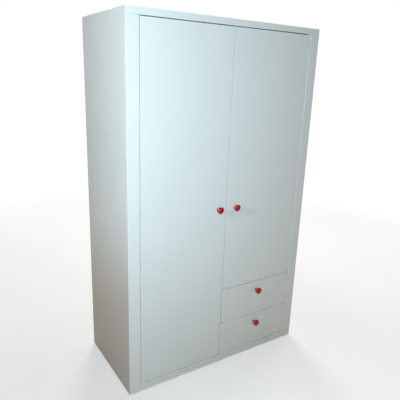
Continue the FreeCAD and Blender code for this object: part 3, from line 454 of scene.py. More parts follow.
@dataclass(frozen=True)
class PressedBoard(Finish):
    """Hardboard with a painted face inside and a bare fibre face at the rear.

    Attributes:
        fibre: Colour of the bare face.
        flecks: Colour of the dark fibres in it.
    """

    fibre: Colour = (0.23, 0.125, 0.06)
    flecks: Colour = (0.09, 0.045, 0.022)

    def dress(self, wiring: Wiring, shader: bpy.types.Node, place: bpy.types.NodeSocket) -> None:
        """Choose the face by its normal, then lay fibres or paint over it."""
        normal = wiring.add("ShaderNodeTexCoord").outputs["Normal"]
        parts = wiring.add("ShaderNodeSeparateXYZ", {0: normal})
        rear = wiring.remap(wiring.maths("SUBTRACT", parts.outputs["Y"], parts.outputs["Z"]), 0.3, 0.7)
        mat = EFFECTS.use(wiring, EFFECTS.grain(), {"Vector": place, "Stretch": (1.0, 1.0, 0.35),
                                                    "Scale": 130.0})
        skin = EFFECTS.use(wiring, EFFECTS.lacquer_skin(), {"Vector": place, "Ripple scale": 260.0})
        cloud = wiring.blend(skin.outputs["Cloud"], self.fibre, tuple(c * 1.35 for c in self.fibre))
        strands = wiring.remap(mat.outputs["Fibre"], 0.5, 0.72)
        bare = wiring.blend(strands, cloud, self.flecks)
        paint = wiring.blend(skin.outputs["Cloud"], self.colour, tuple(c * 0.93 for c in self.colour))
        wiring.feed(shader.inputs["Base Color"], wiring.blend(rear, paint, bare))
        wiring.feed(shader.inputs["Roughness"], wiring.remap(rear, 0.0, 1.0, self.roughness, 0.85))
        weave = wiring.maths("MULTIPLY", mat.outputs["Fibre"], wiring.remap(rear, 0.0, 1.0, 0.15, 1.0))
        self.relief(wiring, shader, wiring.maths("ADD", weave, wiring.maths(
            "MULTIPLY", skin.outputs["Height"], 0.05)), 0.00035)


@dataclass(frozen=True)
class Softwood(Finish):
    """Planed pine battens, with rings along Y.

    Attributes:
        late_wood: Colour of the dark rings.
        fibre: Colour of the fine fibres.
    """

    late_wood: Colour = (0.45, 0.25, 0.11)
    fibre: Colour = (0.3, 0.17, 0.08)

    def dress(self, wiring: Wiring, shader: bpy.types.Node, place: bpy.types.NodeSocket) -> None:
        """Draw rings and fibres along the batten."""
        wood = EFFECTS.use(wiring, EFFECTS.grain(), {"Vector": place, "Stretch": (1.0, 0.05, 1.0),
                                                     "Scale": 26.0, "Rings": 11.0})
        bands = wiring.remap(wood.outputs["Rings"], 0.45, 1.0)
        colour = wiring.blend(bands, self.colour, self.late_wood)
        fine = wiring.remap(wood.outputs["Fibre"], 0.4, 0.7, 0.0, 0.3)
        wiring.feed(shader.inputs["Base Color"], wiring.blend(fine, colour, self.fibre))
        wiring.feed(shader.inputs["Roughness"], wiring.remap(bands, 0.0, 1.0, self.roughness,
                                                             self.roughness - 0.15))
        self.relief(wiring, shader, wood.outputs["Fibre"], 0.0002)


@dataclass(frozen=True)
class ClearRubber(Finish):
    """Soft clear bumpers with a little haze."""

    def dress(self, wiring: Wiring, shader: bpy.types.Node, place: bpy.types.NodeSocket) -> None:
        """Haze the clear body and dull it unevenly."""
        haze = wiring.noise(place, 900.0, 3.0)
        wiring.feed(shader.inputs["Base Color"], wiring.blend(haze, self.colour,
                                                              tuple(c * 0.85 for c in self.colour)))
        wiring.feed(shader.inputs["Roughness"], wiring.remap(haze, 0.3, 0.7, self.roughness,
                                                             self.roughness + 0.2))
        shader.inputs["Transmission Weight"].default_value = 0.7
        shader.inputs["IOR"].default_value = 1.45
        self.relief(wiring, shader, haze, 0.00005)


WHITE_LACQUER = Coated(Slot.LACQUER, (0.80, 0.835, 0.845), 0.40, shade=(0.775, 0.81, 0.815),
                       worn=(0.62, 0.62, 0.60), ripple=520.0, ripple_depth=0.000012, wear=0.35, dusty=0.12,
                       coat=0.12)
WHITE_MELAMINE = Coated(Slot.MELAMINE, (0.80, 0.81, 0.795), 0.48, shade=(0.78, 0.785, 0.77),
                        worn=(0.55, 0.50, 0.43), ripple=1500.0, ripple_depth=0.00004, wear=0.4, dusty=0.15)
POWDER_COAT = Coated(Slot.EPOXY, (0.80, 0.795, 0.765), 0.42, shade=(0.77, 0.76, 0.73),
                     worn=(0.45, 0.45, 0.44), ripple=900.0, ripple_depth=0.00006, wear=0.5, dusty=0.2)
NYLON = Coated(Slot.NYLON, (0.74, 0.735, 0.69), 0.45, shade=(0.70, 0.69, 0.64), worn=(0.5, 0.49, 0.45),
               ripple=1200.0, ripple_depth=0.00004, wear=0.5, dusty=0.2)
MOULDED_PLASTIC = Coated(Slot.PLASTIC, (0.79, 0.79, 0.765), 0.38, shade=(0.76, 0.755, 0.73),
                         worn=(0.6, 0.59, 0.56), ripple=1800.0, ripple_depth=0.00003, wear=0.3, dusty=0.15)
RED_ENAMEL = Enamel(Slot.RED, (0.51, 0.013, 0.018), 0.16)
ZINC_PLATE = Metal(Slot.ZINC, (0.62, 0.63, 0.64), 0.34, stain=(0.47, 0.46, 0.43), brushing=0.5)
BRIGHT_CHROME = Metal(Slot.CHROME, (0.80, 0.81, 0.82), 0.07, stain=(0.72, 0.73, 0.74), brushing=0.12)
HARDBOARD = PressedBoard(Slot.HARDBOARD, (0.76, 0.755, 0.73), 0.5)
PINE = Softwood(Slot.TIMBER, (0.70, 0.49, 0.28), 0.62)
CLEAR_RUBBER = ClearRubber(Slot.RUBBER, (0.85, 0.86, 0.85), 0.25)


class Palette:
    """One material for each finish, made when it is first used."""

    def __init__(self) -> None:
        """Start with nothing made."""
        self.made: dict[Slot, bpy.types.Material] = {}

    def of(self, finish: Finish) -> bpy.types.Material:
        """Return the finish's material."""
        if finish.slot not in self.made:
            self.made[finish.slot] = finish.material()
        return self.made[finish.slot]


PALETTE = Palette()


# ---------------------------------------------------------------- mesh tools

SAME_POINT = 0.002 * MM
SMOOTH_ANGLE = 34.0


@dataclass(frozen=True)
class Island:
    """One separate solid of a CAD node.

    Attributes:
        low: Lowest corner.
        high: Highest corner.
        points: All of its corners.
    """

    low: Vector
    high: Vector
    points: tuple[Vector, ...]

    @property
    def centre(self) -> Vector:
        """Middle of the box."""
        return (self.low + self.high) / 2

    @property
    def size(self) -> Vector:
        """Extents of the box."""
        return self.high - self.low


def merged(node: str) -> bmesh.types.BMesh:
    """Copy a CAD node's mesh with its loose triangles joined and its flat faces made whole.

    Args:
        node: The CAD node.

    Returns:
        A new bmesh, which the caller frees.
    """
    bm = bmesh.new()
    bm.from_mesh(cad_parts[node].data)
    bmesh.ops.remove_doubles(bm, verts=bm.verts, dist=SAME_POINT)
    bmesh.ops.dissolve_limit(bm, angle_limit=math.radians(0.4), verts=bm.verts, edges=bm.edges)
    return bm


def islands(node: str) -> list[Island]:
    """Split a CAD node into its separate solids, sorted by place.

    Args:
        node: The CAD node.

    Returns:
        One island for each solid.
    """
    bm = bmesh.new()
    bm.from_mesh(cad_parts[node].data)
    bmesh.ops.remove_doubles(bm, verts=bm.verts, dist=SAME_POINT)
    found, seen = [], set()
    for start in bm.verts:
        if start.index in seen:
            continue
        seen.add(start.index)
        queue, points = [start], []
        while queue:
            vert = queue.pop()
            points.append(vert.co.copy())
            for edge in vert.link_edges:
                other = edge.other_vert(vert)
                if other.index not in seen:
                    seen.add(other.index)
                    queue.append(other)
        low = Vector([min(p[k] for p in points) for k in range(3)])
        high = Vector([max(p[k] for p in points) for k in range(3)])
        found.append(Island(low, high, tuple(points)))
    bm.free()
    return sorted(found, key=lambda island: tuple(round(c, 5) for c in island.centre))


def to_mesh(bm: bmesh.types.BMesh, name: str, smooth_angle: float = SMOOTH_ANGLE) -> bpy.types.Mesh:
    """Turn a bmesh into a mesh, smooth up to an angle in degrees, and free it.

    Args:
        bm: The bmesh, which is freed.
        name: The mesh's name.
        smooth_angle: Edges sharper than this stay sharp.

    Returns:
        The new mesh.
    """
    mesh = bpy.data.meshes.new(name)
    bm.to_mesh(mesh)
    bm.free()
    mesh.shade_smooth()
    mesh.set_sharp_from_angle(angle=math.radians(smooth_angle))
    return mesh


def linked(name: str, mesh: bpy.types.Mesh) -> bpy.types.Object:
    """Put a mesh in the scene as an object at the origin."""
    thing = bpy.data.objects.new(name, mesh)
    bpy.context.scene.collection.objects.link(thing)
    return thing


def baked(thing: bpy.types.Object) -> bpy.types.Mesh:
    """Return the object's mesh with its modifiers worked in, and remove the object."""
    graph = bpy.context.evaluated_depsgraph_get()
    mesh = bpy.data.meshes.new_from_object(thing.evaluated_get(graph), preserve_all_data_layers=True,
                                           depsgraph=graph)
    bpy.data.objects.remove(thing)
    return mesh


def show(name: str, mesh: bpy.types.Mesh, finish: Finish, body: str, *nodes: str) -> bpy.types.Object:
    """Show a finished mesh on a body, in place of some CAD nodes.

    Args:
        name: The piece's name.
        mesh: Its mesh, in the wardrobe's frame.
        finish: What it is finished with.
        body: The body that it rides on.
        nodes: The CAD nodes that it stands for.

    Returns:
        The new piece.
    """
    if not mesh.polygons:
        raise RuntimeError(f"{name} has no faces")
    mesh.materials.clear()
    mesh.materials.append(PALETTE.of(finish))
    mesh.polygons.foreach_set("material_index", [0] * len(mesh.polygons))
    piece = linked(name, mesh)
    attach(piece, body)
    if nodes:
        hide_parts(*nodes)
    LOG.info("%s: %d faces on %s, %s", name, len(mesh.polygons), body, finish.slot.value)
    return piece


def eased(node: str, width: float, shortest: float = 15 * MM, segments: int = 2) -> bpy.types.Mesh:
    """Copy a CAD node and round its long outer edges.

    Args:
        node: The CAD node.
        width: Width of the rounding, in metres.
        shortest: Edges shorter than this stay sharp.
        segments: Steps across the rounding.

    Returns:
        The eased mesh, with even shading on its flat faces.
    """
    bm = merged(node)
    weight = bm.edges.layers.float.new("bevel_weight_edge")
    for edge in bm.edges:
        if len(edge.link_faces) == 2 and edge.calc_length() >= shortest:
            if edge.calc_face_angle_signed(0.0) > math.radians(50):
                edge[weight] = 1.0
    thing = linked(f"{node}_blank", to_mesh(bm, f"{node}_mesh"))
    bevel = thing.modifiers.new("ease", "BEVEL")
    bevel.limit_method = "WEIGHT"
    bevel.width = width
    bevel.segments = segments
    bevel.use_clamp_overlap = True
    bevel.harden_normals = True
    even = thing.modifiers.new("even", "WEIGHTED_NORMAL")
    even.keep_sharp = True
    even.weight = 100
    return baked(thing)


def lathe(profile: Sequence[tuple[float, float]], segments: int, closed: bool = False) -> bmesh.types.BMesh:
    """Turn a profile about Z.

    Args:
        profile: Points as (radius, height), from the bottom up.
        segments: Steps round the axis.
        closed: True where the last point joins the first, as on a ring.

    Returns:
        A bmesh whose faces point outwards.
    """
    bm = bmesh.new()
    turns = [math.tau * k / segments for k in range(segments)]
    rings = []
    for radius, height in profile:
        if radius < 1e-9:
            rings.append([bm.verts.new((0.0, 0.0, height))] * segments)
        else:
            rings.append([bm.verts.new((radius * math.cos(t), radius * math.sin(t), height)) for t in turns])
    pairs = list(zip(rings, rings[1:]))
    if closed:
        pairs.append((rings[-1], rings[0]))
    for lower, upper in pairs:
        for k in range(segments):
            after = (k + 1) % segments
            corners = [lower[k], lower[after], upper[after], upper[k]]
            bm.faces.new(list(dict.fromkeys(corners)))
    bmesh.ops.recalc_face_normals(bm, faces=bm.faces)
    return bm


def rounded_box(low: Vector, high: Vector, radius: float, segments: int = 3) -> bmesh.types.BMesh:
    """Make a box with all its edges rounded.

    Args:
        low: Lowest corner.
        high: Highest corner.
        radius: Radius of the rounding.
        segments: Steps across it.

    Returns:
        The bmesh.
    """
    bm = bmesh.new()
    bmesh.ops.create_cube(bm, size=1.0)
    middle, size = (low + high) / 2, high - low
    bmesh.ops.scale(bm, vec=size, verts=bm.verts)
    bmesh.ops.translate(bm, vec=middle, verts=bm.verts)
    bmesh.ops.bevel(bm, geom=bm.edges[:], offset=radius, segments=segments, profile=0.5, affect="EDGES",
                    clamp_overlap=True)
    return bm


def carve(mesh: bpy.types.Mesh, cutter: bpy.types.Mesh) -> bpy.types.Mesh:
    """Cut one mesh out of another.

    Args:
        mesh: The mesh to cut.
        cutter: What is taken away.

    Returns:
        The cut mesh, smooth up to the usual angle.
    """
    body = linked("carve_body", mesh)
    tool = linked("carve_tool", cutter)
    cut = body.modifiers.new("cut", "BOOLEAN")
    cut.operation = "DIFFERENCE"
    cut.solver = "EXACT"
    cut.use_self = True
    cut.object = tool
    result = baked(body)
    bpy.data.objects.remove(tool)
    result.shade_smooth()
    result.set_sharp_from_angle(angle=math.radians(SMOOTH_ANGLE))
    return result


def join(meshes: Sequence[bpy.types.Mesh], name: str) -> bpy.types.Mesh:
    """Join several meshes into one.

    Args:
        meshes: The meshes, in the wardrobe's frame.
        name: The new mesh's name.

    Returns:
        The joined mesh, which keeps the sharp edges.
    """
    bm = bmesh.new()
    for mesh in meshes:
        bm.from_mesh(mesh)
    joined = bpy.data.meshes.new(name)
    bm.to_mesh(joined)
    bm.free()
    return joined


# ---------------------------------------------------------------- setting what repeats

@dataclass(frozen=True)
class Seat:
    """Where one fastener sits.

    Attributes:
        point: The point under its head, or on its face.
        outward: The way that its head looks.
    """

    point: Vector
    outward: Vector


class Setter:
    """Sets a template on many seats with one Geometry Nodes tree."""

    def __init__(self) -> None:
        """Build the tree with its named inputs."""
        self.tree = bpy.data.node_groups.new("set_on_seats", "GeometryNodeTree")
        face = self.tree.interface
        face.new_socket("Seats", in_out="INPUT", socket_type="NodeSocketGeometry")
        face.new_socket("Template", in_out="INPUT", socket_type="NodeSocketObject")
        face.new_socket("Spin", in_out="INPUT", socket_type="NodeSocketFloat")
        face.new_socket("Seed", in_out="INPUT", socket_type="NodeSocketInt")
        face.new_socket("Finish", in_out="INPUT", socket_type="NodeSocketMaterial")
        face.new_socket("Pieces", in_out="OUTPUT", socket_type="NodeSocketGeometry")
        wiring = Wiring(self.tree)
        source = wiring.add("NodeGroupInput").outputs
        template = wiring.add("GeometryNodeObjectInfo", {"Object": source["Template"]})
        outward = wiring.add("GeometryNodeInputNamedAttribute", {"Name": "outward"},
                             data_type="FLOAT_VECTOR").outputs[0]
        faced = wiring.add("FunctionNodeAlignRotationToVector", {"Vector": outward}, axis="Z").outputs[0]
        draw = wiring.add("FunctionNodeRandomValue", {2: 0.0, 3: source["Spin"], 8: source["Seed"]},
                          data_type="FLOAT").outputs[1]
        turn = wiring.add("FunctionNodeAxisAngleToRotation", {"Axis": (0.0, 0.0, 1.0), "Angle": draw})
        spun = wiring.add("FunctionNodeRotateRotation", {"Rotation": faced, "Rotate By": turn.outputs[0]},
                          rotation_space="LOCAL").outputs[0]
        placed = wiring.add("GeometryNodeInstanceOnPoints",
                            {"Points": source["Seats"], "Instance": template.outputs["Geometry"],
                             "Rotation": spun}).outputs[0]
        real = wiring.add("GeometryNodeRealizeInstances", {"Geometry": placed}).outputs[0]
        dressed = wiring.add("GeometryNodeSetMaterial", {"Geometry": real, "Material": source["Finish"]})
        wiring.add("NodeGroupOutput", {"Pieces": dressed.outputs[0]})

    def identifier(self, label: str) -> str:
        """Return the identifier of a named input."""
        return next(item.identifier for item in self.tree.interface.items_tree
                    if item.name == label and item.in_out == "INPUT")

    def place(self, template: bpy.types.Mesh, seats: Sequence[Seat], finish: Finish, seed: int = 1,
              spin: float = math.tau) -> bpy.types.Mesh:
        """Set the template on every seat.

        Args:
            template: What is set, with its face towards +Z and its seat at the origin.
            seats: Where each one sits.
            finish: What they are finished with.
            seed: Seed of the random turn of each about its own axis.
            spin: The most that one is turned.

        Returns:
            One plain mesh with all of them.
        """
        points = bpy.data.meshes.new("seats")
        points.from_pydata([seat.point for seat in seats], [], [])
        outward = points.attributes.new("outward", "FLOAT_VECTOR", "POINT")
        outward.data.foreach_set("vector", [c for seat in seats for c in seat.outward])
        original = linked("template", template)
        carrier = linked("seats", points)
        nodes = carrier.modifiers.new("set", "NODES")
        nodes.node_group = self.tree
        nodes[self.identifier("Template")] = original
        nodes[self.identifier("Spin")] = spin
        nodes[self.identifier("Seed")] = seed
        nodes[self.identifier("Finish")] = PALETTE.of(finish)
        mesh = baked(carrier)
        bpy.data.objects.remove(original)
        return mesh


SETTER = Setter()


# ---------------------------------------------------------------- fasteners and small fittings

@dataclass(frozen=True)
class Screw:
    """A pan-head screw with a cross recess.

    Attributes:
        head_radius: Radius of the head.
        head_height: Height of the head.
        shank_radius: Radius of the shank.
        shank_length: Length of the shank.
    """

    head_radius: float
    head_height: float
    shank_radius: float
    shank_length: float

    def template(self) -> bpy.types.Mesh:
        """Build one screw, its head above the origin and its point below.

        Returns:
            The screw's mesh.
        """
        head, high, shank, length = (self.head_radius, self.head_height, self.shank_radius,
                                     self.shank_length)
        profile = [(0.0, -length), (shank * 0.45, -length + shank), (shank * 0.9, -length + 3 * shank)]
        pitch, threaded = 1.4 * MM, length - 4 * shank
        turns = max(2, int(threaded / pitch))
        for turn in range(turns):
            low = -length + 3 * shank + threaded * turn / turns
            step = threaded / turns
            profile += [(shank * 0.78, low + 0.15 * step), (shank, low + 0.5 * step),
                        (shank * 0.78, low + 0.85 * step)]
        profile += [(shank, -shank * 0.6), (shank, 0.0), (head * 0.97, 0.0), (head, high * 0.12)]
        arc_steps = 5
        for step in range(arc_steps + 1):
            angle = math.radians(90) * step / arc_steps
            profile.append((head * (0.5 + 0.5 * math.cos(angle)), high * (0.3 + 0.7 * math.sin(angle))))
        profile.append((0.0, high))
        body = to_mesh(lathe(profile, 20), "screw")
        return carve(body, self.recess())

    def recess(self) -> bpy.types.Mesh:
        """Build the tapered cross that is cut into the head."""
        bm = bmesh.new()
        high, long_arm, short_arm = self.head_height, self.head_radius * 0.55, self.head_radius * 0.13
        for arm in ((long_arm, short_arm), (short_arm, long_arm)):
            for vert in bmesh.ops.create_cube(bm, size=2.0)["verts"]:
                share = 1.0 if vert.co.z > 0 else 0.45
                vert.co = Vector((vert.co.x * arm[0] * share, vert.co.y * arm[1] * max(share, 0.8),
                                  high * 1.2 if vert.co.z > 0 else high * 0.35))
        cross = bpy.data.meshes.new("cross")
        bm.to_mesh(cross)
        bm.free()
        return cross


def screw_seats(node: str) -> dict[Screw, list[Seat]]:
    """Read the screws of a CAD node: their kinds, and where each one sits.

    Args:
        node: A CAD node whose solids are pan-head screws.

    Returns:
        The seats of each kind of screw.
    """
    kinds: dict[Screw, list[Seat]] = {}
    for island in islands(node):
        size = list(island.size)
        axis = size.index(max(size))
        others = [k for k in range(3) if k != axis]
        ends = {}
        for end in (island.low[axis], island.high[axis]):
            near = [p for p in island.points if abs(p[axis] - end) < 0.05 * MM]
            ends[end] = max(math.dist([p[k] for k in others], [island.centre[k] for k in others])
                            for p in near)
        head_end = max(ends, key=lambda end: ends[end])
        head_radius, shank_radius = max(ends.values()), min(ends.values())
        wide = [p[axis] for p in island.points
                if math.dist([p[k] for k in others], [island.centre[k] for k in others])
                > (head_radius + shank_radius) / 2]
        head_height = max(wide) - min(wide)
        outward = Vector((0.0, 0.0, 0.0))
        outward[axis] = 1.0 if head_end == island.high[axis] else -1.0
        point = island.centre.copy()
        point[axis] = head_end
        point -= outward * head_height
        kind = Screw(*(round(v, 5) for v in (head_radius, head_height, shank_radius,
                                             size[axis] - head_height)))
        kinds.setdefault(kind, []).append(Seat(point, outward))
    return kinds


def show_screws(node: str, body: str, seed: int) -> None:
    """Show every screw of a CAD node as a detailed one.

    Args:
        node: The CAD node.
        body: The body that they ride on.
        seed: Seed of the turn of their recesses.
    """
    meshes = [SETTER.place(kind.template(), seats, ZINC_PLATE, seed + number)
              for number, (kind, seats) in enumerate(screw_seats(node).items())]
    show(f"{node}_cross_recess", join(meshes, node), ZINC_PLATE, body, node)


@dataclass(frozen=True)
class CamDisc:
    """A cam of a knock-down fitting, let into a board with its slotted face flush.

    Attributes:
        radius: Radius of the disc.
        depth: How deep it goes.
    """

    radius: float
    depth: float

    def template(self) -> bpy.types.Mesh:
        """Build one cam with a rim, a dished face and a cross slot."""
        r, d = self.radius, self.depth
        profile = [(0.0, -d), (r * 0.94, -d), (r, -d + 0.4 * MM), (r, -0.5 * MM), (r * 0.95, 0.0),
                   (r * 0.84, 0.0), (r * 0.8, -0.5 * MM), (r * 0.35, -0.5 * MM), (0.0, -0.5 * MM)]
        body = to_mesh(lathe(profile, 32), "cam")
        bm = bmesh.new()
        for arm in ((r * 0.62, r * 0.11), (r * 0.11, r * 0.62)):
            for vert in bmesh.ops.create_cube(bm, size=2.0)["verts"]:
                vert.co = Vector((vert.co.x * arm[0], vert.co.y * arm[1],
                                  1.0 * MM if vert.co.z > 0 else -3.5 * MM))
        cross = bpy.data.meshes.new("cam_cross")
        bm.to_mesh(cross)
        bm.free()
        return carve(body, cross)


@dataclass(frozen=True)
class Roller:
    """A nylon wheel of a roller runner.

    Attributes:
        radius: Running radius.
        width: Width of the tread.
        bore: Radius of its bore.
    """

    radius: float
    width: float
    bore: float

    def template(self) -> bpy.types.Mesh:
        """Build one wheel on Z, with rounded shoulders and a dished web on both faces."""
        r, w, b = self.radius, self.width / 2, self.bore
        rim, hub, dish = r * 0.8, b + 1.6 * MM, 1.3 * MM
        half = [(b, w), (hub, w), (hub + 0.3 * MM, w - dish), (rim - 0.3 * MM, w - dish), (rim, w - 0.2 * MM),
                (r * 0.93, w - 0.15 * MM), (r * 0.985, w - 0.6 * MM), (r, w - 1.2 * MM)]
        profile = half + [(radius, -height) for radius, height in reversed(half)]
        return to_mesh(lathe(profile, 40, closed=True), "roller")


def shaft_seats(node: str, towards: Vector) -> list[Seat]:
    """Read the middles of a CAD node's solids, all looking one way."""
    return [Seat(island.centre, towards) for island in islands(node)]


# ---------------------------------------------------------------- knobs

@dataclass
class HeartKnob:
    """A plump heart on a waisted stem, in one piece.

    Attributes:
        node: The CAD node that it stands for.
        body: The body that it rides on.
        stem: Length of the stem.
        foot: Radius of the stem's foot.
        waist: Radius of its waist.
        steps: Steps round the outline.
        softness: Steps over which the outline's corners are rounded.
        fullness: How far the outline leans from a heart to a disc.
    """

    node: str
    body: str
    stem: float = 16 * MM
    foot: float = 9 * MM
    waist: float = 6 * MM
    steps: int = 96
    softness: float = 3.0
    fullness: float = 0.42

    def outline(self, width: float) -> list[float]:
        """Work out the heart's radius at each step round its middle.

        The heart is a square on its corner with a disc on each of its upper sides.

        Args:
            width: Overall width of the heart.

        Returns:
            One radius for each step, counted from +X towards +Z.
        """
        side = width / (1 / math.sqrt(2) + 1)
        half = side / math.sqrt(2)
        tip = -side * (1.5 / math.sqrt(2) + 0.5) / 2
        raw = []
        for k in range(self.steps):
            ray = Vector((math.cos(math.tau * k / self.steps), math.sin(math.tau * k / self.steps)))
            reach = self.reach_square(ray, tip + half, half)
            for sign in (-1, 1):
                lobe = Vector((sign * half / 2, tip + half * 1.5))
                along = ray.dot(lobe)
                inside = along * along - lobe.length_squared + side * side / 4
                if inside > 0:
                    reach = max(reach, along + math.sqrt(inside))
            raw.append(reach)
        spread = int(self.softness * 3)
        weights = [math.exp(-0.5 * (j / self.softness) ** 2) for j in range(-spread, spread + 1)]
        total = sum(weights)
        mean = sum(raw) / self.steps
        full = [reach * (1 - self.fullness) + mean * self.fullness for reach in raw]
        return [sum(w * full[(k + j) % self.steps] for w, j in zip(weights, range(-spread, spread + 1)))
                / total for k in range(self.steps)]

    @staticmethod
    def reach_square(ray: Vector, middle: float, half: float) -> float:
        """Return how far a ray from the origin goes inside a square that stands on its corner."""
        best = math.inf
        for sx in (-1, 1):
            for sz in (-1, 1):
                slope = sx * ray.x + sz * ray.y
                if slope > 1e-9:
                    best = min(best, (half + sz * middle) / slope)
        return best

    def rings(self, thickness: float) -> Iterator[tuple[float, float, float, float]]:
        """Give each ring as (heartness, heart share, round radius, distance from the door)."""
        stem = self.stem
        for radius, share in ((self.foot * 0.97, 0.0), (self.foot, 0.02), (self.foot, 0.09),
                              (self.foot * 0.95, 0.125), (self.foot * 0.82, 0.17),
                              (self.waist * 1.12, 0.27), (self.waist, 0.45), (self.waist, 0.7),
                              (self.waist * 1.06, 0.88), (self.waist * 1.3, 0.98)):
            yield 0.0, 0.0, radius, stem * share
        for share, depth in ((0.68, 0.01), (0.84, 0.045), (0.93, 0.11), (0.98, 0.2), (1.0, 0.32),
                             (0.995, 0.43), (0.97, 0.545), (0.92, 0.66), (0.84, 0.765), (0.73, 0.85),
                             (0.58, 0.92), (0.4, 0.965), (0.2, 0.99)):
            yield min(1.0, 0.25 + share), share, self.waist, stem + thickness * depth

    def build(self) -> bpy.types.Object:
        """Loft the rings into one closed skin and show it.

        Returns:
            The knob.
        """
        low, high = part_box(self.node)
        middle = (low + high) / 2
        door, front = high.y, low.y
        thickness = door - front - self.stem
        radii = self.outline(high.x - low.x)
        grow = min((high.x - low.x) / 2 / max(abs(r * math.cos(math.tau * k / self.steps))
                                              for k, r in enumerate(radii)),
                   (high.z - low.z) / 2 / max(abs(r * math.sin(math.tau * k / self.steps))
                                              for k, r in enumerate(radii)))
        mean = sum(radii) / len(radii)
        bm = bmesh.new()
        back = bm.verts.new((middle.x, door, middle.z))
        rings = [[back] * self.steps]
        for heartness, share, radius, depth in self.rings(thickness):
            ring = []
            for k, reach in enumerate(radii):
                shaped = reach * heartness + mean * (1 - heartness)
                r = radius if share == 0.0 else shaped * share * grow
                turn = math.tau * k / self.steps
                ring.append(bm.verts.new((middle.x + r * math.cos(turn), door - depth,
                                          middle.z + r * math.sin(turn))))
            rings.append(ring)
        rings.append([bm.verts.new((middle.x, front, middle.z))] * self.steps)
        for lower, upper in zip(rings, rings[1:]):
            for k in range(self.steps):
                after = (k + 1) % self.steps
                bm.faces.new(list(dict.fromkeys([lower[k], lower[after], upper[after], upper[k]])))
        bmesh.ops.recalc_face_normals(bm, faces=bm.faces)
        mesh = to_mesh(bm, self.node, 50.0)
        return show(f"{self.node}_heart", mesh, RED_ENAMEL, self.body, self.node)


# ---------------------------------------------------------------- sub-assemblies

@dataclass
class Carcass:
    """The fixed boards, the back and what the wardrobe stands on.

    Attributes:
        body: The body of the carcass.
        arris: Width of the rounding on lacquered boards.
        inner_arris: Width of the rounding on melamine boards.
        outer: The lacquered boards.
        inner: The melamine boards.
    """

    body: str = "carcass"
    arris: float = 0.5 * MM
    inner_arris: float = 0.6 * MM
    outer: tuple[str, ...] = ("top_board", "left_side_panel", "right_side_panel", "left_front_stile",
                              "right_front_stile", "bottom_rail")
    inner: tuple[str, ...] = ("bottom_board", "centre_partition", "hat_shelf", "fixed_shelf",
                              "lower_adjustable_shelf", "upper_adjustable_shelf")

    def boards(self) -> None:
        """Show the lacquered outside and the melamine inside."""
        for node in self.outer:
            show(f"{node}_lacquered", eased(node, self.arris), WHITE_LACQUER, self.body, node)
        for node in self.inner:
            show(f"{node}_faced", eased(node, self.inner_arris), WHITE_MELAMINE, self.body, node)

    def back(self) -> None:
        """Show the two hardboard sheets."""
        for node in ("left_back_panel", "right_back_panel"):
            show(f"{node}_sheet", eased(node, 0.3 * MM), HARDBOARD, self.body, node)

    def packers(self) -> None:
        """Show the pine battens behind the right stile."""
        show("runner_packer_battens", eased("runner_packers", 1.0 * MM), PINE, self.body, "runner_packers")

    def glides(self) -> None:
        """Show the glides as turned feet with a rounded sole."""
        found = islands("floor_glides")
        radius, height = found[0].size.x / 2, found[0].size.z
        profile = [(0.0, 0.0), (radius * 0.8, 0.0), (radius * 0.92, 0.4 * MM), (radius, 1.5 * MM),
                   (radius, 3.2 * MM), (radius * 0.9, 3.7 * MM), (radius * 0.9, height), (0.0, height)]
        seats = [Seat(Vector((i.centre.x, i.centre.y, i.low.z)), Vector((0, 0, 1))) for i in found]
        mesh = SETTER.place(to_mesh(lathe(profile, 32), "glide"), seats, MOULDED_PLASTIC)
        show("floor_glide_feet", mesh, MOULDED_PLASTIC, self.body, "floor_glides")

    def build(self) -> None:
        """Show the whole carcass."""
        self.boards()
        self.back()
        self.packers()
        self.glides()


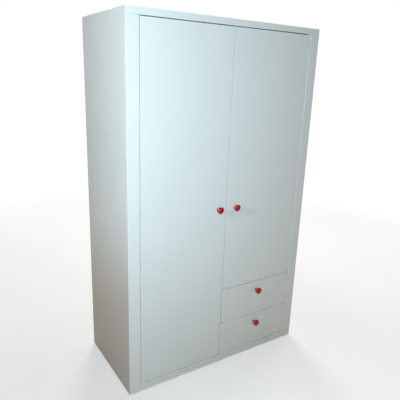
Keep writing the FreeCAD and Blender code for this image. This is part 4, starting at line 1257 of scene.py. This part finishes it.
@dataclass
class Fittings:
    """What holds the carcass together and what its doors and clothes need.

    Attributes:
        body: The body that carries them.
    """

    body: str = "carcass"

    def cams(self) -> None:
        """Show the cams with their slots and the bolts that they pull."""
        found = islands("cam_discs")
        seats = []
        for island in found:
            axis = list(island.size).index(min(island.size))
            outward = Vector((0.0, 0.0, 0.0))
            outward[axis] = -1.0
            point = island.centre.copy()
            point[axis] = island.low[axis]
            if axis == 0:
                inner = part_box("left_side_panel")[1].x
                if island.centre.x < inner:
                    outward[axis] = 1.0
                    point[axis] = island.high[axis]
            seats.append(Seat(point, outward))
        size = sorted(found[0].size)
        cam = CamDisc(size[1] / 2, size[0])
        show("cam_discs_slotted", SETTER.place(cam.template(), seats, ZINC_PLATE, 5), ZINC_PLATE, self.body,
             "cam_discs")
        bolts = [Seat(i.centre, Vector([1.0 if s == max(i.size) else 0.0 for s in i.size]))
                 for i in islands("cam_bolts")]
        size = sorted(islands("cam_bolts")[0].size)
        r, half = size[0] / 2, size[2] / 2
        profile = [(0.0, -half), (r * 0.8, -half), (r, -half + 1 * MM), (r, half - 5 * MM),
                   (r * 0.6, half - 4.4 * MM), (r * 0.6, half - 2.6 * MM), (r, half - 2 * MM),
                   (r, half - 0.5 * MM), (r * 0.8, half), (0.0, half)]
        show("cam_bolts_turned", SETTER.place(to_mesh(lathe(profile, 20), "bolt"), bolts, ZINC_PLATE, 6),
             ZINC_PLATE, self.body, "cam_bolts")

    def rail(self) -> None:
        """Show the clothes rail as a thin chrome tube in its two turned sockets."""
        low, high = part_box("clothes_rail")
        radius, half = (high.z - low.z) / 2, (high.x - low.x) / 2
        wall, lip = 1.5 * MM, 0.4 * MM
        profile = [(radius - wall, -half), (radius - lip, -half), (radius, -half + lip), (radius, half - lip),
                   (radius - lip, half), (radius - wall, half)]
        tube = SETTER.place(to_mesh(lathe(profile, 64, closed=True), "tube"),
                            [Seat((low + high) / 2, Vector((1, 0, 0)))], BRIGHT_CHROME)
        show("clothes_rail_tube", tube, BRIGHT_CHROME, self.body, "clothes_rail")
        show("rail_sockets_moulded", eased("rail_sockets", 0.5 * MM, 0.4 * MM), MOULDED_PLASTIC, self.body,
             "rail_sockets")

    def pins(self) -> None:
        """Show the shelf pins with domed ends and a waist."""
        found = islands("shelf_pins")
        size = sorted(found[0].size)
        r, half = size[0] / 2, size[2] / 2
        profile = [(0.0, -half), (r * 0.6, -half + 0.15 * MM), (r, -half + 0.8 * MM), (r, -0.9 * MM),
                   (r * 0.86, -0.6 * MM), (r * 0.86, 0.2 * MM), (r, 0.5 * MM), (r, half - 0.8 * MM),
                   (r * 0.6, half - 0.15 * MM), (0.0, half)]
        mesh = SETTER.place(to_mesh(lathe(profile, 24), "pin"), shaft_seats("shelf_pins", Vector((1, 0, 0))),
                            ZINC_PLATE)
        show("shelf_pins_turned", mesh, ZINC_PLATE, self.body, "shelf_pins")

    def catches(self) -> None:
        """Show each magnetic catch as a case with a recess, two steel poles and a magnet."""
        cases, poles = [], []
        for island in islands("magnetic_catches"):
            low, high = island.low, island.high
            case = to_mesh(rounded_box(low, high, 1.2 * MM), "case")
            inset = Vector((3 * MM, 0.0, 5 * MM))
            mouth_low, mouth_high = low + inset, high - inset
            mouth_low.y, mouth_high.y = low.y - 1 * MM, low.y + 3 * MM
            case = carve(case, to_mesh(rounded_box(mouth_low, mouth_high, 0.4 * MM, 1), "mouth"))
            cases.append(case)
            width = mouth_high.x - mouth_low.x
            for start, end, sunk in ((0.02, 0.24, 0.15), (0.30, 0.70, 0.8), (0.76, 0.98, 0.15)):
                pole_low = Vector((mouth_low.x + width * start, low.y + sunk * MM, mouth_low.z + 0.3 * MM))
                pole_high = Vector((mouth_low.x + width * end, low.y + 3 * MM, mouth_high.z - 0.3 * MM))
                poles.append(to_mesh(rounded_box(pole_low, pole_high, 0.3 * MM, 1), "pole"))
        show("magnetic_catch_cases", join(cases, "cases"), MOULDED_PLASTIC, self.body, "magnetic_catches")
        show("magnetic_catch_poles", join(poles, "poles"), ZINC_PLATE, self.body)

    def bumpers(self) -> None:
        """Show the bumpers as soft domes."""
        found = islands("stop_bumpers")
        radius, height = found[0].size.x / 2, found[0].size.y
        profile = [(0.0, 0.0), (radius, 0.0), (radius, height * 0.35)]
        for step in range(1, 6):
            angle = math.radians(90) * step / 5
            profile.append((radius * math.cos(angle), height * (0.35 + 0.65 * math.sin(angle))))
        profile[-1] = (0.0, height)
        seats = [Seat(Vector((i.centre.x, i.high.y, i.centre.z)), Vector((0, -1, 0))) for i in found]
        mesh = SETTER.place(to_mesh(lathe(profile, 24), "bumper"), seats, CLEAR_RUBBER)
        show("stop_bumper_domes", mesh, CLEAR_RUBBER, self.body, "stop_bumpers")

    def metalwork(self) -> None:
        """Show the pivots, the runner channels and the screws."""
        for node in ("left_frame_pivots", "right_frame_pivots"):
            show(f"{node}_plated", eased(node, 0.25 * MM, 1.5 * MM), ZINC_PLATE, self.body, node)
        show("cabinet_runner_channels", eased("cabinet_runners", 0.25 * MM, 8 * MM), POWDER_COAT, self.body,
             "cabinet_runners")
        show_screws("small_screws", self.body, 11)

    def build(self) -> None:
        """Show all the fittings."""
        self.cams()
        self.rail()
        self.pins()
        self.catches()
        self.bumpers()
        self.metalwork()


@dataclass
class Door:
    """One door with its plates, knob, strikes and screws.

    Attributes:
        side: Which door.
        arris: Width of the rounding on its sharp edges.
    """

    side: Side
    arris: float = 0.6 * MM

    @property
    def body(self) -> str:
        """Name of the door's body."""
        return f"{self.side.value}_door"

    def build(self) -> None:
        """Show the whole door."""
        panel = f"{self.body}_panel"
        show(f"{panel}_lacquered", eased(panel, self.arris), WHITE_LACQUER, self.body, panel)
        plates = f"{self.body}_pivot_plates"
        show(f"{plates}_plated", eased(plates, 0.25 * MM, 1.5 * MM), ZINC_PLATE, self.body, plates)
        strikes = f"{self.body}_strikes"
        show(f"{strikes}_plated", eased(strikes, 0.4 * MM, 1 * MM), ZINC_PLATE, self.body, strikes)
        show_screws(f"{self.body}_screws", self.body, 23 if self.side is Side.LEFT else 37)
        HeartKnob(f"{self.body}_knob", self.body).build()


@dataclass
class Drawer:
    """One drawer: lacquered front, faced box, runner strips, rollers, knob and screws.

    Attributes:
        level: Which drawer.
        arris: Width of the rounding on its front.
        box_arris: Width of the rounding on its box.
        roller_bore: Radius of the rollers' bores.
        box: The boards of its box.
    """

    level: Level
    arris: float = 0.6 * MM
    box_arris: float = 0.6 * MM
    roller_bore: float = 2.1 * MM
    box: tuple[str, ...] = ("box_front", "left_side", "right_side", "back")

    @property
    def body(self) -> str:
        """Name of the drawer's body."""
        return f"{self.level.value}_drawer"

    def rollers(self) -> None:
        """Show the pair of rollers on the channels and the pair on the box."""
        for kind in ("fixed", "running"):
            node = f"{self.body}_{kind}_rollers"
            found = islands(node)
            wheel = Roller(found[0].size.z / 2, found[0].size.x, self.roller_bore)
            mesh = SETTER.place(wheel.template(), shaft_seats(node, Vector((1, 0, 0))), NYLON, 3)
            show(f"{node}_dished", mesh, NYLON, f"{self.level.value}_{kind}_rollers", node)

    def build(self) -> None:
        """Show the whole drawer."""
        front = f"{self.body}_front"
        show(f"{front}_lacquered", eased(front, self.arris), WHITE_LACQUER, self.body, front)
        for part in self.box:
            node = f"{self.body}_{part}"
            show(f"{node}_faced", eased(node, self.box_arris), WHITE_MELAMINE, self.body, node)
        bottom = f"{self.body}_bottom"
        show(f"{bottom}_sheet", eased(bottom, 0.3 * MM), HARDBOARD, self.body, bottom)
        runners = f"{self.body}_runners"
        show(f"{runners}_strips", eased(runners, 0.25 * MM, 8 * MM), POWDER_COAT, self.body, runners)
        show_screws(f"{self.body}_screws", self.body, 51 if self.level is Level.LOWER else 67)
        HeartKnob(f"{self.body}_knob", self.body).build()
        self.rollers()


# ---------------------------------------------------------------- studio

DAYLIGHT: Colour = (0.95, 0.98, 1.0)
FLOOR_RADIUS = 14.0


@dataclass
class Studio:
    """Floor, lights and camera.

    Attributes:
        eye: Where the camera stands, from the foot of the front's middle.
        yaw: How far it is turned from +Y towards -X, in degrees.
        pitch: How far it looks up, in degrees.
        roll: How far it is tilted about its own line of sight, in degrees.
        lens: Focal length on a 36 mm sensor.
    """

    eye: Vector = field(default_factory=lambda: Vector((-1.4053, -1.8657, 1.7105)))
    yaw: float = -33.264
    pitch: float = -15.840
    roll: float = 2.029
    lens: float = 38.846

    @staticmethod
    def foot() -> Vector:
        """Return the middle of the front's foot, which the camera and lamps are placed from."""
        return Vector((0.0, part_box("left_front_stile")[0].y, 0.0))

    def camera(self) -> None:
        """Set the camera at a standing person's eye, in front and to the left."""
        yaw, pitch, roll = (math.radians(a) for a in (self.yaw, self.pitch, self.roll))
        forward = Vector((-math.sin(yaw) * math.cos(pitch), math.cos(yaw) * math.cos(pitch), math.sin(pitch)))
        level = Vector((math.cos(yaw), math.sin(yaw), 0.0))
        upright = level.cross(forward)
        right = level * math.cos(roll) + upright * math.sin(roll)
        up = upright * math.cos(roll) - level * math.sin(roll)
        data = bpy.data.cameras.new("camera")
        data.lens = self.lens
        data.sensor_width = 36.0
        data.clip_start, data.clip_end = 0.05, 100.0
        camera = bpy.data.objects.new("camera", data)
        bpy.context.scene.collection.objects.link(camera)
        turn = Matrix((right, up, -forward)).transposed().to_4x4()
        camera.matrix_world = Matrix.Translation(self.foot() + self.eye) @ turn
        bpy.context.scene.camera = camera

    def lamp(self, name: str, place: Vector, aim: Vector, size: float, power: float, colour: Colour) -> None:
        """Hang one soft square lamp.

        Args:
            name: Its name.
            place: Where it hangs.
            aim: What it looks at.
            size: Side of the square.
            power: Its power in watts.
            colour: Its colour.
        """
        data = bpy.data.lights.new(name, "AREA")
        data.shape = "SQUARE"
        data.size = size
        data.energy = power
        data.color = colour
        self.hang(data, place, aim)

    def spot(self, name: str, place: Vector, aim: Vector, beam: float, edge: float, power: float,
             colour: Colour) -> None:
        """Hang one lamp with a soft-edged round beam.

        Args:
            name: Its name.
            place: Where it hangs.
            aim: What it looks at.
            beam: Full angle of the beam, in degrees.
            edge: Share of the beam that fades.
            power: Its power in watts.
            colour: Its colour.
        """
        data = bpy.data.lights.new(name, "SPOT")
        data.spot_size = math.radians(beam)
        data.spot_blend = edge
        data.shadow_soft_size = 0.15
        data.energy = power
        data.color = colour
        self.hang(data, place, aim)

    def hang(self, data: bpy.types.Light, place: Vector, aim: Vector) -> None:
        """Put a lamp in the scene, looking at a point."""
        lamp = bpy.data.objects.new(data.name, data)
        lamp.location = place + self.foot()
        lamp.rotation_mode = "QUATERNION"
        lamp.rotation_quaternion = (aim - place).to_track_quat("-Z", "Y")
        bpy.context.scene.collection.objects.link(lamp)

    def lamps(self) -> None:
        """Hang the key at eye height, a beam on the left side, and soft lamps round the rest."""
        self.lamp("key", Vector((-1.40, -1.87, 1.78)), Vector((-0.1, 0.0, 1.0)), 0.3, 47.4,
                  (0.700, 0.902, 1.0))
        self.spot("side_beam", Vector((-2.2, -0.6, 1.9)), Vector((-0.6, 0.25, 1.75)), 75.0, 0.7, 72.4,
                  (0.801, 0.950, 1.0))
        self.lamp("back", Vector((1.4, 3.6, 2.6)), Vector((0.0, 0.6, 1.0)), 1.6, 110.0, DAYLIGHT)
        self.lamp("right", Vector((3.0, 1.3, 2.2)), Vector((0.6, 0.3, 1.0)), 1.2, 30.0, DAYLIGHT)
        self.lamp("overhead", Vector((0.0, 0.3, 3.6)), Vector((0.0, 0.301, 2.0)), 0.5, 24.0, DAYLIGHT)

    def sky(self) -> None:
        """Light the scene evenly, and show white behind it."""
        world = bpy.data.worlds.new("studio")
        world.use_nodes = True
        world.node_tree.nodes.clear()
        wiring = Wiring(world.node_tree)
        seen = wiring.add("ShaderNodeBackground", {"Color": (1.0, 1.0, 1.0, 1.0), "Strength": 1.0})
        glow = wiring.add("ShaderNodeBackground", {"Color": (1.0, 0.82, 0.63, 1.0), "Strength": 0.212})
        direct = wiring.add("ShaderNodeLightPath").outputs["Is Camera Ray"]
        mixed = wiring.add("ShaderNodeMixShader", {0: direct, 1: glow.outputs[0], 2: seen.outputs[0]})
        wiring.add("ShaderNodeOutputWorld", {"Surface": mixed.outputs[0]})
        bpy.context.scene.world = world

    def floor(self) -> None:
        """Lay a plain pale floor that fades into the white behind it."""
        bm = bmesh.new()
        bmesh.ops.create_circle(bm, cap_ends=True, radius=FLOOR_RADIUS, segments=96)
        floor = linked("floor", to_mesh(bm, "floor"))
        material = bpy.data.materials.new("pale_floor")
        material.use_nodes = True
        material.node_tree.nodes.clear()
        wiring = Wiring(material.node_tree)
        place = wiring.add("ShaderNodeTexCoord").outputs["Object"]
        cloud = wiring.noise(place, 1.5, 3.0)
        pale = wiring.blend(cloud, (0.80, 0.785, 0.765), (0.84, 0.83, 0.815))
        direct = wiring.add("ShaderNodeLightPath").outputs["Is Camera Ray"]
        colour = wiring.blend(direct, (0.42, 0.28, 0.18), pale)
        shader = wiring.add("ShaderNodeBsdfPrincipled", {"Base Color": colour, "Roughness": 0.7})
        white = wiring.add("ShaderNodeEmission", {"Color": (1.0, 1.0, 1.0, 1.0), "Strength": 1.0})
        away = wiring.add("ShaderNodeVectorMath", {0: place}, operation="LENGTH").outputs["Value"]
        fade = wiring.remap(away, 1.2, 4.0, 0.45, 1.0)
        share = wiring.maths("MULTIPLY", fade, direct)
        mixed = wiring.add("ShaderNodeMixShader", {0: share, 1: shader.outputs[0], 2: white.outputs[0]})
        wiring.add("ShaderNodeOutputMaterial", {"Surface": mixed.outputs[0]})
        floor.data.materials.append(material)

    def build(self) -> None:
        """Set up the whole studio."""
        self.camera()
        self.lamps()
        self.sky()
        self.floor()
        bpy.context.scene.view_settings.view_transform = "Standard"


def main() -> None:
    """Build every sub-assembly in order, then the studio."""
    logging.basicConfig(level=logging.INFO, format="%(name)s: %(message)s")
    Studio().build()
    Carcass().build()
    Fittings().build()
    for side in Side:
        Door(side).build()
    for level in Level:
        Drawer(level).build()


if __name__ == "__main__":
    main()
